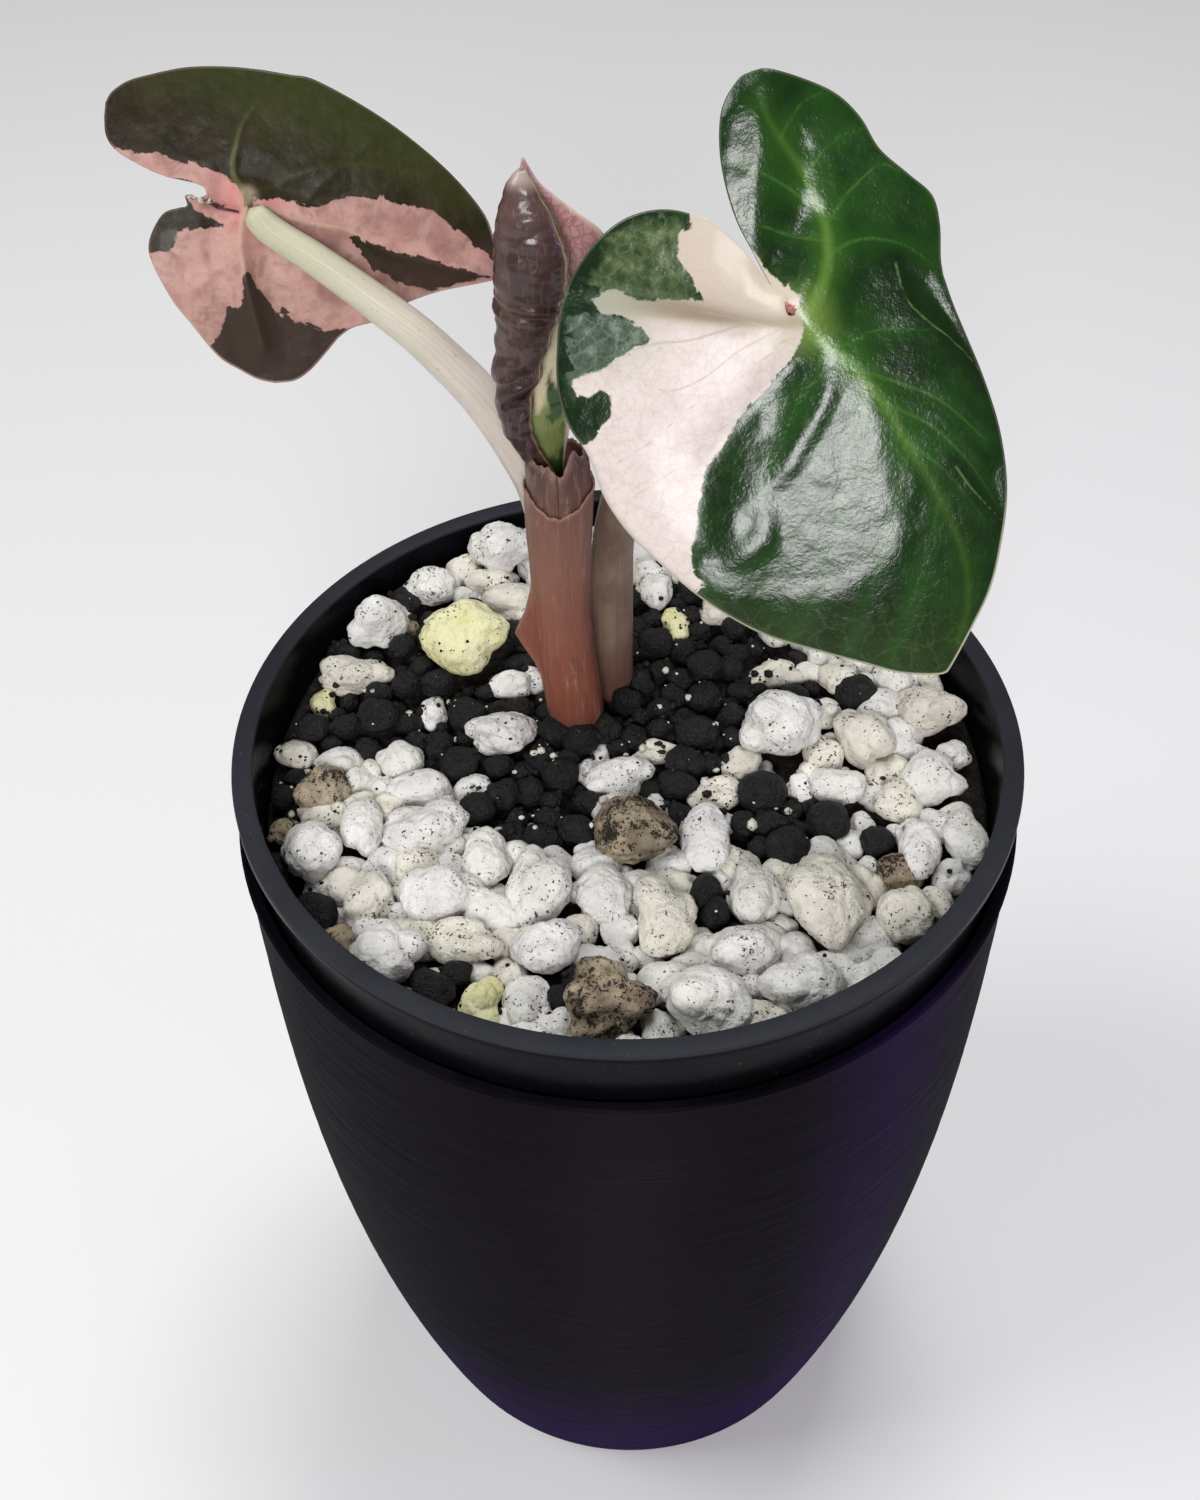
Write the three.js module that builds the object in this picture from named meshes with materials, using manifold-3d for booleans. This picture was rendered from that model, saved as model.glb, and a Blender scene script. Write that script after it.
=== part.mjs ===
// A small variegated alocasia in a black liner pot that stands inside a tapered cover pot.
// Millimetres, +Z up, with the origin on the table under the middle of the cover pot.
import * as THREE from 'three';
import { mergeVertices } from 'three/addons/utils/BufferGeometryUtils.js';
import Module from 'manifold-3d';

const wasm = await Module();
wasm.setup();

// Driving sizes
const potHeight = 135; // table to the top of the liner's lip
const lipRadius = 50;
const contactGap = 0.3; // room between two pieces that touch
const turnedSides = 48; // facets round each pot
const sideSteps = 12; // facets up the cover pot's side
const bladeThickness = 1.1;

const cover = {
  height: 125.2,
  mouthRadius: 50.3,
  baseRadius: 38,
  wall: 1.2,
  floor: 2.4,
  shoulderDrop: 26, // how far the side falls before it starts to turn in
  bellyOut: 14, // how far the side still bulges past the base
  bellyHeight: 55,
};

const liner = {
  wall: 1.3,
  collarRadius: 48.7,
  collarBottom: 124,
  lipHeight: 1.7,
  edge: 0.3, // small bevel on the lip
  floorHeight: 20, // the skirt under it leaves room for water
  floorRadius: 36.5,
  floorThickness: 1.6,
  footRadius: 34.5,
  archWidth: 18,
  archHeight: 11,
  holeRadius: 2.5,
  holeRing: 22,
  holes: 8, // round the ring, with one more in the middle
};

const bed = {
  height: 123.5, // the mix under the loose lumps
  rise: 0.15, // slope up towards the back
};

const crown = { x: -4.5, y: 14.5, radius: 9, depth: 19, top: 124.6 };

// The mix's surface: level in front, rising behind the plant.
function bedHeight(y) {
  return bed.height + bed.rise * Math.max(0, y);
}

const part = new THREE.Group();

const finishes = {
  cover: { color: 0x120c1c, roughness: 0.42, metalness: 0.35 },
  liner: { color: 0x16181d, roughness: 0.5, metalness: 0 },
  mix: { color: 0x17130f, roughness: 0.95, metalness: 0 },
  corm: { color: 0x6b4a35, roughness: 0.8, metalness: 0 },
  sheath: { color: 0x9a5d50, roughness: 0.55, metalness: 0 },
  paleStem: { color: 0xd9cfc4, roughness: 0.5, metalness: 0 },
  dullStem: { color: 0x8f7d6e, roughness: 0.55, metalness: 0 },
  oldLeaf: { color: 0x39351f, roughness: 0.45, metalness: 0 },
  newLeaf: { color: 0x4a3034, roughness: 0.3, metalness: 0 },
  frontLeaf: { color: 0x1f4a16, roughness: 0.25, metalness: 0 },
  white: { color: 0xdedbd3, roughness: 0.9, metalness: 0 },
  cream: { color: 0xd9d2bd, roughness: 0.9, metalness: 0 },
  yellow: { color: 0xdcd695, roughness: 0.9, metalness: 0 },
  brown: { color: 0x8d7a66, roughness: 0.95, metalness: 0 },
  black: { color: 0x1b1a1c, roughness: 0.8, metalness: 0 },
};

function addPiece(name, geometry, finish, parent = part) {
  const piece = new THREE.Mesh(geometry, new THREE.MeshStandardMaterial(finishes[finish]));
  piece.name = name;
  parent.add(piece);
  return piece;
}

// Solids and their joins
function solidOf(geometry) {
  const bare = geometry.clone();
  bare.deleteAttribute('normal');
  bare.deleteAttribute('uv');
  const welded = mergeVertices(bare, 1e-3);
  return new wasm.Manifold(new wasm.Mesh({
    numProp: 3,
    vertProperties: new Float32Array(welded.attributes.position.array),
    triVerts: new Uint32Array(welded.index.array),
  }));
}

function geometryOf(solid) {
  const mesh = solid.getMesh();
  const geometry = new THREE.BufferGeometry();
  geometry.setAttribute('position', new THREE.BufferAttribute(mesh.vertProperties, 3));
  geometry.setIndex(new THREE.BufferAttribute(mesh.triVerts, 1));
  geometry.computeVertexNormals();
  return geometry;
}

// A profile of [radius, height] points turned about Z. It runs up the outside and down the inside.
function turned(profile, sides = turnedSides) {
  const points = profile.map(([radius, height]) => new THREE.Vector2(radius, height));
  return new THREE.LatheGeometry(points, sides).rotateX(Math.PI / 2);
}

// Pots
function coverSide(inset) {
  const side = new THREE.CubicBezierCurve(
    new THREE.Vector2(cover.baseRadius, 0),
    new THREE.Vector2(cover.baseRadius + cover.bellyOut, cover.bellyHeight),
    new THREE.Vector2(cover.mouthRadius, cover.height - cover.shoulderDrop),
    new THREE.Vector2(cover.mouthRadius, cover.height),
  );
  return side.getPoints(sideSteps).map((point) => [point.x - inset, point.y]);
}

function coverPot() {
  const outside = coverSide(0);
  const inside = coverSide(cover.wall)
    .filter(([, height]) => height > cover.floor + 1)
    .reverse();
  const floorEdge = [cover.baseRadius - cover.wall, cover.floor];
  return turned([[0, 0], ...outside, ...inside, floorEdge, [0, cover.floor]]);
}

function linerInnerRadius(height) {
  const floorTop = liner.floorHeight + liner.floorThickness;
  const share = (height - floorTop) / (liner.collarBottom - floorTop);
  const outer = THREE.MathUtils.lerp(liner.floorRadius, liner.collarRadius, Math.min(1, share));
  return outer - liner.wall;
}

function linerPot() {
  const foot = cover.floor + contactGap;
  const lipUnder = potHeight - liner.lipHeight;
  const floorTop = liner.floorHeight + liner.floorThickness;
  const lipInner = liner.collarRadius - liner.wall;
  const body = turned([
    [0, liner.floorHeight],
    [liner.floorRadius - liner.wall, liner.floorHeight],
    [liner.footRadius - liner.wall, foot],
    [liner.footRadius, foot],
    [liner.floorRadius, floorTop],
    [liner.collarRadius, liner.collarBottom],
    [liner.collarRadius, lipUnder],
    [lipRadius, lipUnder],
    [lipRadius, potHeight - liner.edge],
    [lipRadius - liner.edge, potHeight],
    [lipInner + liner.edge, potHeight],
    [lipInner, potHeight - liner.edge],
    [lipInner, liner.collarBottom],
    [linerInnerRadius(floorTop), floorTop],
    [0, floorTop],
  ]);
  let pot = solidOf(body);

  // Arches through the skirt and drain holes through the floor
  for (const turn of [Math.PI / 4, (3 * Math.PI) / 4]) {
    const arch = new THREE.BoxGeometry(2 * lipRadius, liner.archWidth, 2 * liner.archHeight);
    arch.translate(0, 0, foot);
    arch.rotateZ(turn);
    pot = pot.subtract(solidOf(arch));
  }
  for (let i = 0; i <= liner.holes; i += 1) {
    const ring = i === liner.holes ? 0 : liner.holeRing;
    const angle = (i / liner.holes) * 2 * Math.PI;
    const drill = new THREE.CylinderGeometry(
      liner.holeRadius,
      liner.holeRadius,
      4 * liner.floorThickness,
      12,
    );
    drill.rotateX(Math.PI / 2);
    drill.translate(ring * Math.cos(angle), ring * Math.sin(angle), liner.floorHeight);
    pot = pot.subtract(solidOf(drill));
  }
  return geometryOf(pot);
}

// The crown is the short thick stem that the leaf stalks grow from, just under the surface.
function crownShape(grow) {
  const { radius, depth, top } = crown;
  const shape = turned([
    [0, top - depth - grow],
    [radius * 0.45 + grow, top - depth * 0.85],
    [radius * 0.85 + grow, top - depth * 0.45],
    [radius + grow, top - depth * 0.15],
    [radius + grow, top + 10 * grow],
    [0, top + 10 * grow],
  ], 20);
  return shape.translate(crown.x, crown.y, 0);
}

function pottingMix() {
  const floorTop = liner.floorHeight + liner.floorThickness + contactGap;
  const body = turned([
    [0, floorTop],
    [linerInnerRadius(floorTop) - contactGap, floorTop],
    [linerInnerRadius(bed.height) - contactGap, bed.height],
    [0, bed.height],
  ]);
  const corners = body.attributes.position;
  for (let i = 0; i < corners.count; i += 1) {
    if (corners.getZ(i) > bed.height - 1) {
      corners.setZ(i, bedHeight(corners.getY(i)));
    }
  }
  return geometryOf(solidOf(body).subtract(solidOf(crownShape(contactGap))));
}

// Leaf stalks: a cylinder bent along a path, with its own radius and depth at each place.
function stalk(points, widths, sides = 12, steps = 20, flatten = 1) {
  const path = new THREE.CatmullRomCurve3(points.map((point) => new THREE.Vector3(...point)));
  const shape = new THREE.CylinderGeometry(1, 1, 1, sides, steps);
  const corners = shape.attributes.position;
  const depthAxis = new THREE.Vector3(0, 1, 0);
  for (let i = 0; i < corners.count; i += 1) {
    const along = corners.getY(i) + 0.5;
    const place = path.getPointAt(along);
    const tangent = path.getTangentAt(along);
    const across = new THREE.Vector3().crossVectors(tangent, depthAxis).normalize();
    const outward = new THREE.Vector3().crossVectors(across, tangent);
    const slot = along * (widths.length - 1);
    const low = Math.min(Math.floor(slot), widths.length - 2);
    const radius = THREE.MathUtils.lerp(widths[low], widths[low + 1], slot - low);
    place.addScaledVector(across, corners.getX(i) * radius);
    place.addScaledVector(outward, corners.getZ(i) * radius * flatten);
    corners.setXYZ(i, place.x, place.y, place.z);
  }
  return shape;
}

const stalkFoot = crown.top + contactGap;

const sheathPath = [
  [-6.2, 10.3, stalkFoot], [-7.1, 10.3, 138], [-7.5, 10.5, 152], [-7.3, 10.5, 164], [-7.1, 10.5, 171],
];
const leftStalkPath = [
  [-8, 18.6, stalkFoot], [-8.2, 18.6, 134], [-8.6, 18.5, 147.5], [-10, 18.2, 158],
  [-12.1, 17.9, 164.4], [-16.4, 17.4, 173.2], [-20.9, 17.4, 179.3], [-25.1, 17.8, 183.7],
  [-33.4, 19.8, 189.9], [-38.9, 21.4, 193.3], [-41.1, 22.4, 195.6],
];
const rightStalkPath = [
  [-1.5, 16.6, stalkFoot], [-1.5, 16.2, 140], [-0.9, 14.8, 156], [2.1, 12.5, 169], [7.6, 8.6, 181],
  [13, 3.8, 190], [16, 0.2, 193.8], [17.5, -2.1, 195.3],
];
const youngLeafPath = [
  [-6.2, 10.3, stalkFoot], [-7.1, 10.3, 138], [-7.5, 10.5, 152], [-7.4, 10.5, 164], [-8, 10.5, 171],
  [-9.8, 10.8, 176], [-10.7, 11.4, 181.5], [-9.9, 12, 188.5], [-9.5, 12, 194], [-10, 12.6, 198.5],
  [-10.2, 13, 203.6],
];

function sheath() {
  const outside = solidOf(stalk(sheathPath, [3.2, 3.7, 3.5, 3.7, 4.2], 16, 12));
  const longer = [[-6.2, 10.3, stalkFoot - 4], ...sheathPath.slice(1, -1), [-7.1, 10.5, 175]];
  const inside = solidOf(stalk(longer, [2.4, 2.9, 2.8, 3, 3.7], 16, 12));
  return geometryOf(outside.subtract(inside));
}

// Leaf blades. A blade is a closed band between its three main veins and its margin, in its own
// plane: x to the right, y up and z out of the face that looks forward, zero at the stalk.
const frontLeaf = {
  at: [17.7, -4, 196.1],
  turn: -8,
  face: 31.6, // how far the blade's face looks up from level, in degrees
  veins: [
    [[0, 0], [2.1, 7], [0.8, 12.7], [-5.1, 19.8]],
    [[0, 0], [4.1, -3], [8.6, -8.2], [13.2, -13.9], [16.8, -19.7], [18.8, -30]],
    [[0, 0], [-6.1, -0.6], [-12.2, 0.2], [-20.4, 1.1]],
  ],
  margin: [
    [[-1.4, 2], [-5.5, 6.7], [-7.9, 10.6], [-9.6, 19.4], [-8.4, 22.7], [-5.2, 24.1]],
    [[-5.2, 24.1], [-0.1, 23.1], [5.3, 18.5], [11.2, 13.7], [13.1, 8.4], [13.6, 5.2]],
    [[13.6, 5.2], [15.1, 2], [18.3, -2.8], [22, -12.8], [22.6, -21.5], [19.9, -32.6], [18.7, -35.7]],
    [[18.7, -35.7], [12.1, -35.8], [-0.8, -32.9], [-10.5, -27.3], [-17.6, -21.3], [-21.5, -14]],
    [[-21.5, -14], [-24.5, -7.7], [-25, -1.8]],
    [[-25, -1.8], [-23, 4.6], [-18.5, 9.3], [-12.5, 10.2], [-7.1, 7.4], [-2.6, 3.1], [-1.4, 2]],
  ],
  samples: [8, 9, 7],
  lift: (x, y) => -0.0045 * ((x + 1) ** 2 + (y + 6) ** 2) - 0.006 * Math.max(0, x + 0.45 * y) ** 2,
};

const leftLeaf = {
  at: [-41.7, 25, 195.6],
  turn: 12,
  face: 27,
  veins: [
    [[0, 0], [-4, 4.5], [-10, 8.5]],
    [[0, 0], [5.5, -2.6], [11.8, -6.1], [18.2, -9.3], [24, -11.2]],
    [[0, 0], [-3, -6], [-2.6, -12], [-1.6, -16.5]],
  ],
  margin: [
    [[-4.4, 0.4], [-6.4, 2.2], [-12.9, 5.9], [-13.9, 9.1]],
    [[-13.9, 9.1], [-12.8, 12.2], [-9.3, 13.6], [-2.4, 14.1], [3.8, 13]],
    [[3.8, 13], [8.7, 11.8], [16.7, 5.8], [25.2, -2.9], [27.7, -9.7], [27.5, -12.6]],
    [[27.5, -12.6], [17.7, -14.1], [12.5, -15.7], [7.4, -17]],
    [[7.4, -17], [4.9, -19.5], [1.7, -20.9], [-1.1, -20.8]],
    [[-1.1, -20.8], [-6.9, -15.8], [-11, -8.3], [-11.4, -2.9], [-9.6, -1.1], [-6.9, -0.3], [-4.4, 0.4]],
  ],
  samples: [7, 8, 11],
  lift: (x, y) => -0.008 * ((x - 3) ** 2 * 0.5 + (y + 2) ** 2),
};

function blade(leaf, rings = 4) {
  const corners = [];
  const seen = new Map();
  const triangles = [];

  // One corner for each place, so the band closes on itself along the veins
  function corner(x, y, side) {
    const z = leaf.lift(x, y) + (side * bladeThickness) / 2;
    const key = [x, y, side].map((value) => value.toFixed(3)).join(' ');
    if (!seen.has(key)) {
      seen.set(key, corners.length / 3);
      corners.push(x, y, z);
    }
    return seen.get(key);
  }

  function addFace(a, b, c) {
    if (a !== b && b !== c && c !== a) triangles.push(a, b, c);
  }

  const stations = [];
  leaf.margin.forEach((outline, section) => {
    const vein = leaf.veins[Math.floor(section / 2)];
    const foot = new THREE.SplineCurve(vein.map((point) => new THREE.Vector2(...point)));
    const edge = new THREE.SplineCurve(outline.map((point) => new THREE.Vector2(...point)));
    const count = leaf.samples[Math.floor(section / 2)];
    for (let i = 0; i < count; i += 1) {
      const share = section % 2 === 0 ? i / count : 1 - i / count;
      stations.push({ foot: foot.getPoint(share), edge: edge.getPoint(i / count) });
    }
  });

  stations.forEach((station, i) => {
    const next = stations[(i + 1) % stations.length];
    const place = (from, ring, side) => {
      const point = from.foot.clone().lerp(from.edge, ring / rings);
      return corner(point.x, point.y, side);
    };
    for (let ring = 0; ring < rings; ring += 1) {
      for (const side of [1, -1]) {
        const a = place(station, ring, side);
        const b = place(station, ring + 1, side);
        const c = place(next, ring + 1, side);
        const d = place(next, ring, side);
        if (side > 0) {
          addFace(a, c, b);
          addFace(a, d, c);
        } else {
          addFace(a, b, c);
          addFace(a, c, d);
        }
      }
    }
    const top = place(station, rings, 1);
    const low = place(station, rings, -1);
    const nextTop = place(next, rings, 1);
    const nextLow = place(next, rings, -1);
    addFace(top, nextTop, low);
    addFace(nextTop, nextLow, low);
  });

  const geometry = new THREE.BufferGeometry();
  geometry.setAttribute('position', new THREE.Float32BufferAttribute(corners, 3));
  geometry.setIndex(triangles);
  geometry.computeVertexNormals();
  return geometry;
}

function addBlade(name, leaf, finish) {
  const piece = addPiece(name, blade(leaf), finish);
  const lean = THREE.MathUtils.degToRad(90 - leaf.face);
  piece.rotation.set(lean, 0, THREE.MathUtils.degToRad(leaf.turn), 'ZXY');
  piece.position.set(...leaf.at);
}

// Loose lumps on the mix: kind, x, y, width, depth and turn in degrees, from the back to the front
const lumps = [
  ['white', -17.5, 40, 9.5, 8.5, 0],
  ['white', -27, 33, 8.5, 5.5, 20],
  ['white', -34, 26, 8.5, 8, 0],
  ['yellow', -21.5, 21, 12.5, 11, 0],
  ['cream', -36.5, 17.5, 10.5, 5.5, 0],
  ['brown', -39.5, -2, 7, 7, 0],
  ['white', -27, -1.5, 9, 5, 0],
  ['white', -34, -8.5, 5, 9.5, 0],
  ['white', -39.5, -12.5, 7.5, 9, 0],
  ['white', -26, -9.5, 11, 7.5, 0],
  ['white', -18, -14.5, 6, 9, 0],
  ['white', -23, -20, 10.5, 8, 0],
  ['cream', -32, -20, 6, 8.5, 0],
  ['white', -28.5, -30, 9.5, 8.5, 0],
  ['cream', -20.5, -27.5, 9.5, 5.5, 0],
  ['yellow', -18, -36, 5, 8, 0],
  ['white', -12.5, -36, 4, 9, 30],
  ['white', -11.5, -19, 8, 12, 0],
  ['white', -10.5, -28.5, 8.5, 7, 0],
  ['white', -3.5, -20.5, 6, 10, 30],
  ['cream', 4.5, -24.5, 7.5, 11, 0],
  ['brown', -2.5, -37.5, 11, 10, 0],
  ['white', 8.5, -37.5, 11, 9, 0],
  ['brown', 1, -11, 10.5, 9.5, 0],
  ['white', -1, -0.5, 9.5, 5.5, 0],
  ['white', -16.5, 6.5, 9.5, 6.5, 0],
  ['white', 9.5, -12, 6, 10.5, 0],
  ['white', 13, -29.5, 9.5, 6.5, 0],
  ['white', 15, -21, 6.5, 9, 0],
  ['white', 19, -35, 9.5, 7.5, 0],
  ['cream', 24, -23.5, 11, 13, 0],
  ['cream', 32.5, -25, 7, 7.5, 0],
  ['white', 37, -14, 5.5, 10, 0],
  ['white', 42.5, -13, 5.5, 9.5, 0],
  ['white', 39.5, -2, 11.5, 6, -40],
  ['cream', 41, 9, 9.5, 7.5, -10],
  ['white', 20.5, 6, 11, 10.5, 0],
  ['cream', 31.5, 4, 7.5, 8, 0],
];
const granules = [
  ['black', -38.5, -22, 5, 5.5, 0],
  ['black', 17.5, -4, 6.5, 6.5, 0],
  ['black', 25.5, -9, 5.5, 6, 0],
  ['black', 20, -13.5, 6, 6, 0],
  ['black', 31.5, -12, 4.5, 4.5, 0],
  ['black', 9.5, -20, 4.5, 5, 0],
  ['black', 31.5, 13, 5.5, 5.5, 0],
  ['black', -19.5, -5, 5, 5, 0],
];
const lumpSpacing = 0.35;
const lumpRoughness = 0.07; // how far the corners are drawn in
const lumpFlatness = 0.8; // height over the smaller side
const tallestLump = 9;
const footClearance = 0.9; // room round the foot of the sheath and of each stalk
const stalkFootRadius = 2.7;
const sheathFootRadius = 3.7;
const spreadPasses = 80;
const lumpRows = [...lumps, ...granules].map(([kind, x, y, width, depth, turn]) => (
  { kind, place: new THREE.Vector2(x, y), width, depth, turn: THREE.MathUtils.degToRad(turn) }
));

// How far a lump reaches from its middle along a direction in plan
function reach(lump, direction) {
  const local = direction.clone().rotateAround(new THREE.Vector2(), -lump.turn).normalize();
  return 0.5 / Math.hypot(local.x / lump.width, local.y / lump.depth);
}

// Lumps that would overlap push each other apart, and stay inside the wall and off the stalks.
function spreadLumps(rows) {
  const wall = linerInnerRadius(potHeight);
  const posts = [
    { foot: sheathPath[0], radius: sheathFootRadius },
    { foot: rightStalkPath[0], radius: stalkFootRadius },
    { foot: leftStalkPath[0], radius: stalkFootRadius },
  ];
  for (let pass = 0; pass < spreadPasses; pass += 1) {
    rows.forEach((lump, i) => {
      rows.slice(i + 1).forEach((other) => {
        const apart = other.place.clone().sub(lump.place);
        const need = reach(lump, apart) + reach(other, apart) + lumpSpacing;
        const push = (need - apart.length()) / 2;
        if (push > 0) {
          apart.setLength(push);
          lump.place.sub(apart);
          other.place.add(apart);
        }
      });
      posts.forEach((post) => {
        const apart = lump.place.clone().sub(new THREE.Vector2(...post.foot));
        const push = reach(lump, apart) + post.radius + footClearance - apart.length();
        if (push > 0) lump.place.add(apart.setLength(push));
      });
      const limit = wall - lumpSpacing - reach(lump, lump.place);
      if (lump.place.length() > limit) lump.place.setLength(limit);
    });
  }
}

function makeRandom(seed) {
  let state = seed;
  return () => {
    state = (state * 1664525 + 1013904223) % 4294967296;
    return state / 4294967296;
  };
}

// A lump is a faceted ball whose corners are drawn in by different amounts.
function lumpShape(lump, height, seed) {
  const shape = new THREE.IcosahedronGeometry(0.5, 1);
  const corners = shape.attributes.position;
  const random = makeRandom(seed);
  const draw = new Map();
  for (let i = 0; i < corners.count; i += 1) {
    const key = [corners.getX(i), corners.getY(i), corners.getZ(i)]
      .map((value) => value.toFixed(3)).join(' ');
    if (!draw.has(key)) draw.set(key, 1 - lumpRoughness * random());
    const scale = draw.get(key);
    corners.setXYZ(
      i,
      corners.getX(i) * scale * lump.width,
      corners.getY(i) * scale * lump.depth,
      corners.getZ(i) * scale * height,
    );
  }
  return shape;
}

function addLump(name, lump, seed) {
  const height = Math.min(lumpFlatness * Math.min(lump.width, lump.depth), tallestLump);
  const piece = addPiece(name, lumpShape(lump, height, seed), lump.kind);
  const lowest = bedHeight(lump.place.y + lump.depth * 0.1) + contactGap; // clear of the slope
  piece.position.set(lump.place.x, lump.place.y, lowest + height / 2);
  piece.rotation.z = lump.turn;
}

addPiece('cover_pot', coverPot(), 'cover');
addPiece('liner_pot', linerPot(), 'liner');
addPiece('potting_mix', pottingMix(), 'mix');
addPiece('crown', crownShape(0), 'corm');
addPiece('leaf_sheath', sheath(), 'sheath');
addPiece('stalk_left', stalk(leftStalkPath, [2.5, 2.6, 2.7, 2.7, 2.6, 2.3, 1.9, 1.6], 10, 22), 'paleStem');
addPiece('stalk_front', stalk(rightStalkPath, [2.9, 2.8, 2.6, 2.2, 1.9, 1.5], 10, 18), 'dullStem');
addPiece('leaf_young', stalk(
  youngLeafPath,
  [1.9, 2, 2, 2, 2, 2, 2, 2.1, 2.2, 3.1, 3.7, 4.1, 4.1, 2.6, 0.3],
  12,
  26,
  0.8,
), 'newLeaf');
addBlade('leaf_left', leftLeaf, 'oldLeaf');
addBlade('leaf_front', frontLeaf, 'frontLeaf');

spreadLumps(lumpRows);
lumpRows.forEach((lump, i) => {
  const granule = i >= lumps.length;
  const number = granule ? i - lumps.length + 1 : i + 1;
  const name = `${granule ? 'granule' : 'lump'}_${String(number).padStart(2, '0')}`;
  addLump(name, lump, 7 + i);
});

export default part;
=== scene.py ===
import math
import random

import bpy
import numpy as np
from mathutils import Matrix, Vector, noise


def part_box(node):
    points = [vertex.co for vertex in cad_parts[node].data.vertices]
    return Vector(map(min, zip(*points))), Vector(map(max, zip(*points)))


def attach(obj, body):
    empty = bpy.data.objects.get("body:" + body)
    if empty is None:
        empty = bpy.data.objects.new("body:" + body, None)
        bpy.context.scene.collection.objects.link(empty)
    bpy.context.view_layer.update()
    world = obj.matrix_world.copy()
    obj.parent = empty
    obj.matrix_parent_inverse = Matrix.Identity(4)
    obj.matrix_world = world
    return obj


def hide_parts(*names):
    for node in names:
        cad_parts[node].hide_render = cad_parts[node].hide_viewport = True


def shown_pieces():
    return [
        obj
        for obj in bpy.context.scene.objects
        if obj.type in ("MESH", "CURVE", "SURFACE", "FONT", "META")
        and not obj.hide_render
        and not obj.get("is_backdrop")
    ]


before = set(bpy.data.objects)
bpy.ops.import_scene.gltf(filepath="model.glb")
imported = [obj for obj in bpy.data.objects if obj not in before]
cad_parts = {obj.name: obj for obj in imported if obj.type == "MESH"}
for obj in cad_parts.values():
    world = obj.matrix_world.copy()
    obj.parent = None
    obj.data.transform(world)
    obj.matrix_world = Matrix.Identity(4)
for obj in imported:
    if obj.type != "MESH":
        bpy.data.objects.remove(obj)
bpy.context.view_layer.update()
bpy.ops.object.select_all(action="DESELECT")
mm = 0.001  # every size below is in millimetres
print("frame loaded,", len(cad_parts), "nodes")


# Camera, lights and floor

camera = {"place": (-3.4, -153.1, 288.7), "down": 45.85, "roll": -1.2, "lens": 40.8, "sensor": 36}
floorSheet = {"size": 4000, "colour": (0.87, 0.87, 0.87)}
studio = {  # name: aimed at, direction it comes from, distance, width, height, watts, colour
    "keySoftbox": ((18, -4, 190), (-0.066, -0.898, 0.435), 900, 320, 320, 5.5, (1.0, 0.985, 0.99)),
    "leftFill": ((0, 0, 120), (-0.6, -0.1, 0.79), 1100, 450, 450, 4.5, (0.99, 0.995, 1.0)),
    "topFill": ((0, 20, 120), (0.1, 0.25, 0.96), 1200, 450, 450, 6.6, (1.0, 0.995, 0.985)),
    "rightStrip": ((0, 0, 50), (0.93, -0.12, 0.2), 600, 60, 300, 0.35, (0.6, 0.4, 1.0)),
}
worldGlow = 0.14


def addCamera():
    bpy.ops.object.camera_add(location=Vector(camera["place"]) * mm)
    eye = bpy.context.object
    turn = Matrix.Rotation(math.radians(90 - camera["down"]), 4, "X")
    turn @= Matrix.Rotation(math.radians(camera["roll"]), 4, "Z")
    eye.matrix_world = Matrix.Translation(Vector(camera["place"]) * mm) @ turn
    eye.data.sensor_fit = "VERTICAL"
    eye.data.sensor_height = camera["sensor"]
    eye.data.lens = camera["lens"]
    eye.data.clip_start = 0.01
    bpy.context.scene.camera = eye


def addLights():
    for name, (aim, way, distance, width, height, watts, colour) in studio.items():
        way = Vector(way).normalized()
        bpy.ops.object.light_add(type="AREA", location=(Vector(aim) + way * distance) * mm)
        light = bpy.context.object
        light.name = name
        light.rotation_euler = way.to_track_quat("Z", "Y").to_euler()
        light.data.shape = "RECTANGLE"
        light.data.size = width * mm
        light.data.size_y = height * mm
        light.data.energy = watts
        light.data.color = colour
    world = bpy.data.worlds.new("studioWorld")
    world.use_nodes = True
    world.node_tree.nodes["Background"].inputs["Color"].default_value = (0.95, 0.97, 1.0, 1)
    world.node_tree.nodes["Background"].inputs["Strength"].default_value = worldGlow
    bpy.context.scene.world = world
    bpy.context.scene.view_settings.view_transform = "Standard"


addCamera()
addLights()
print("camera and lights set")


# Finishes

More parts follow.
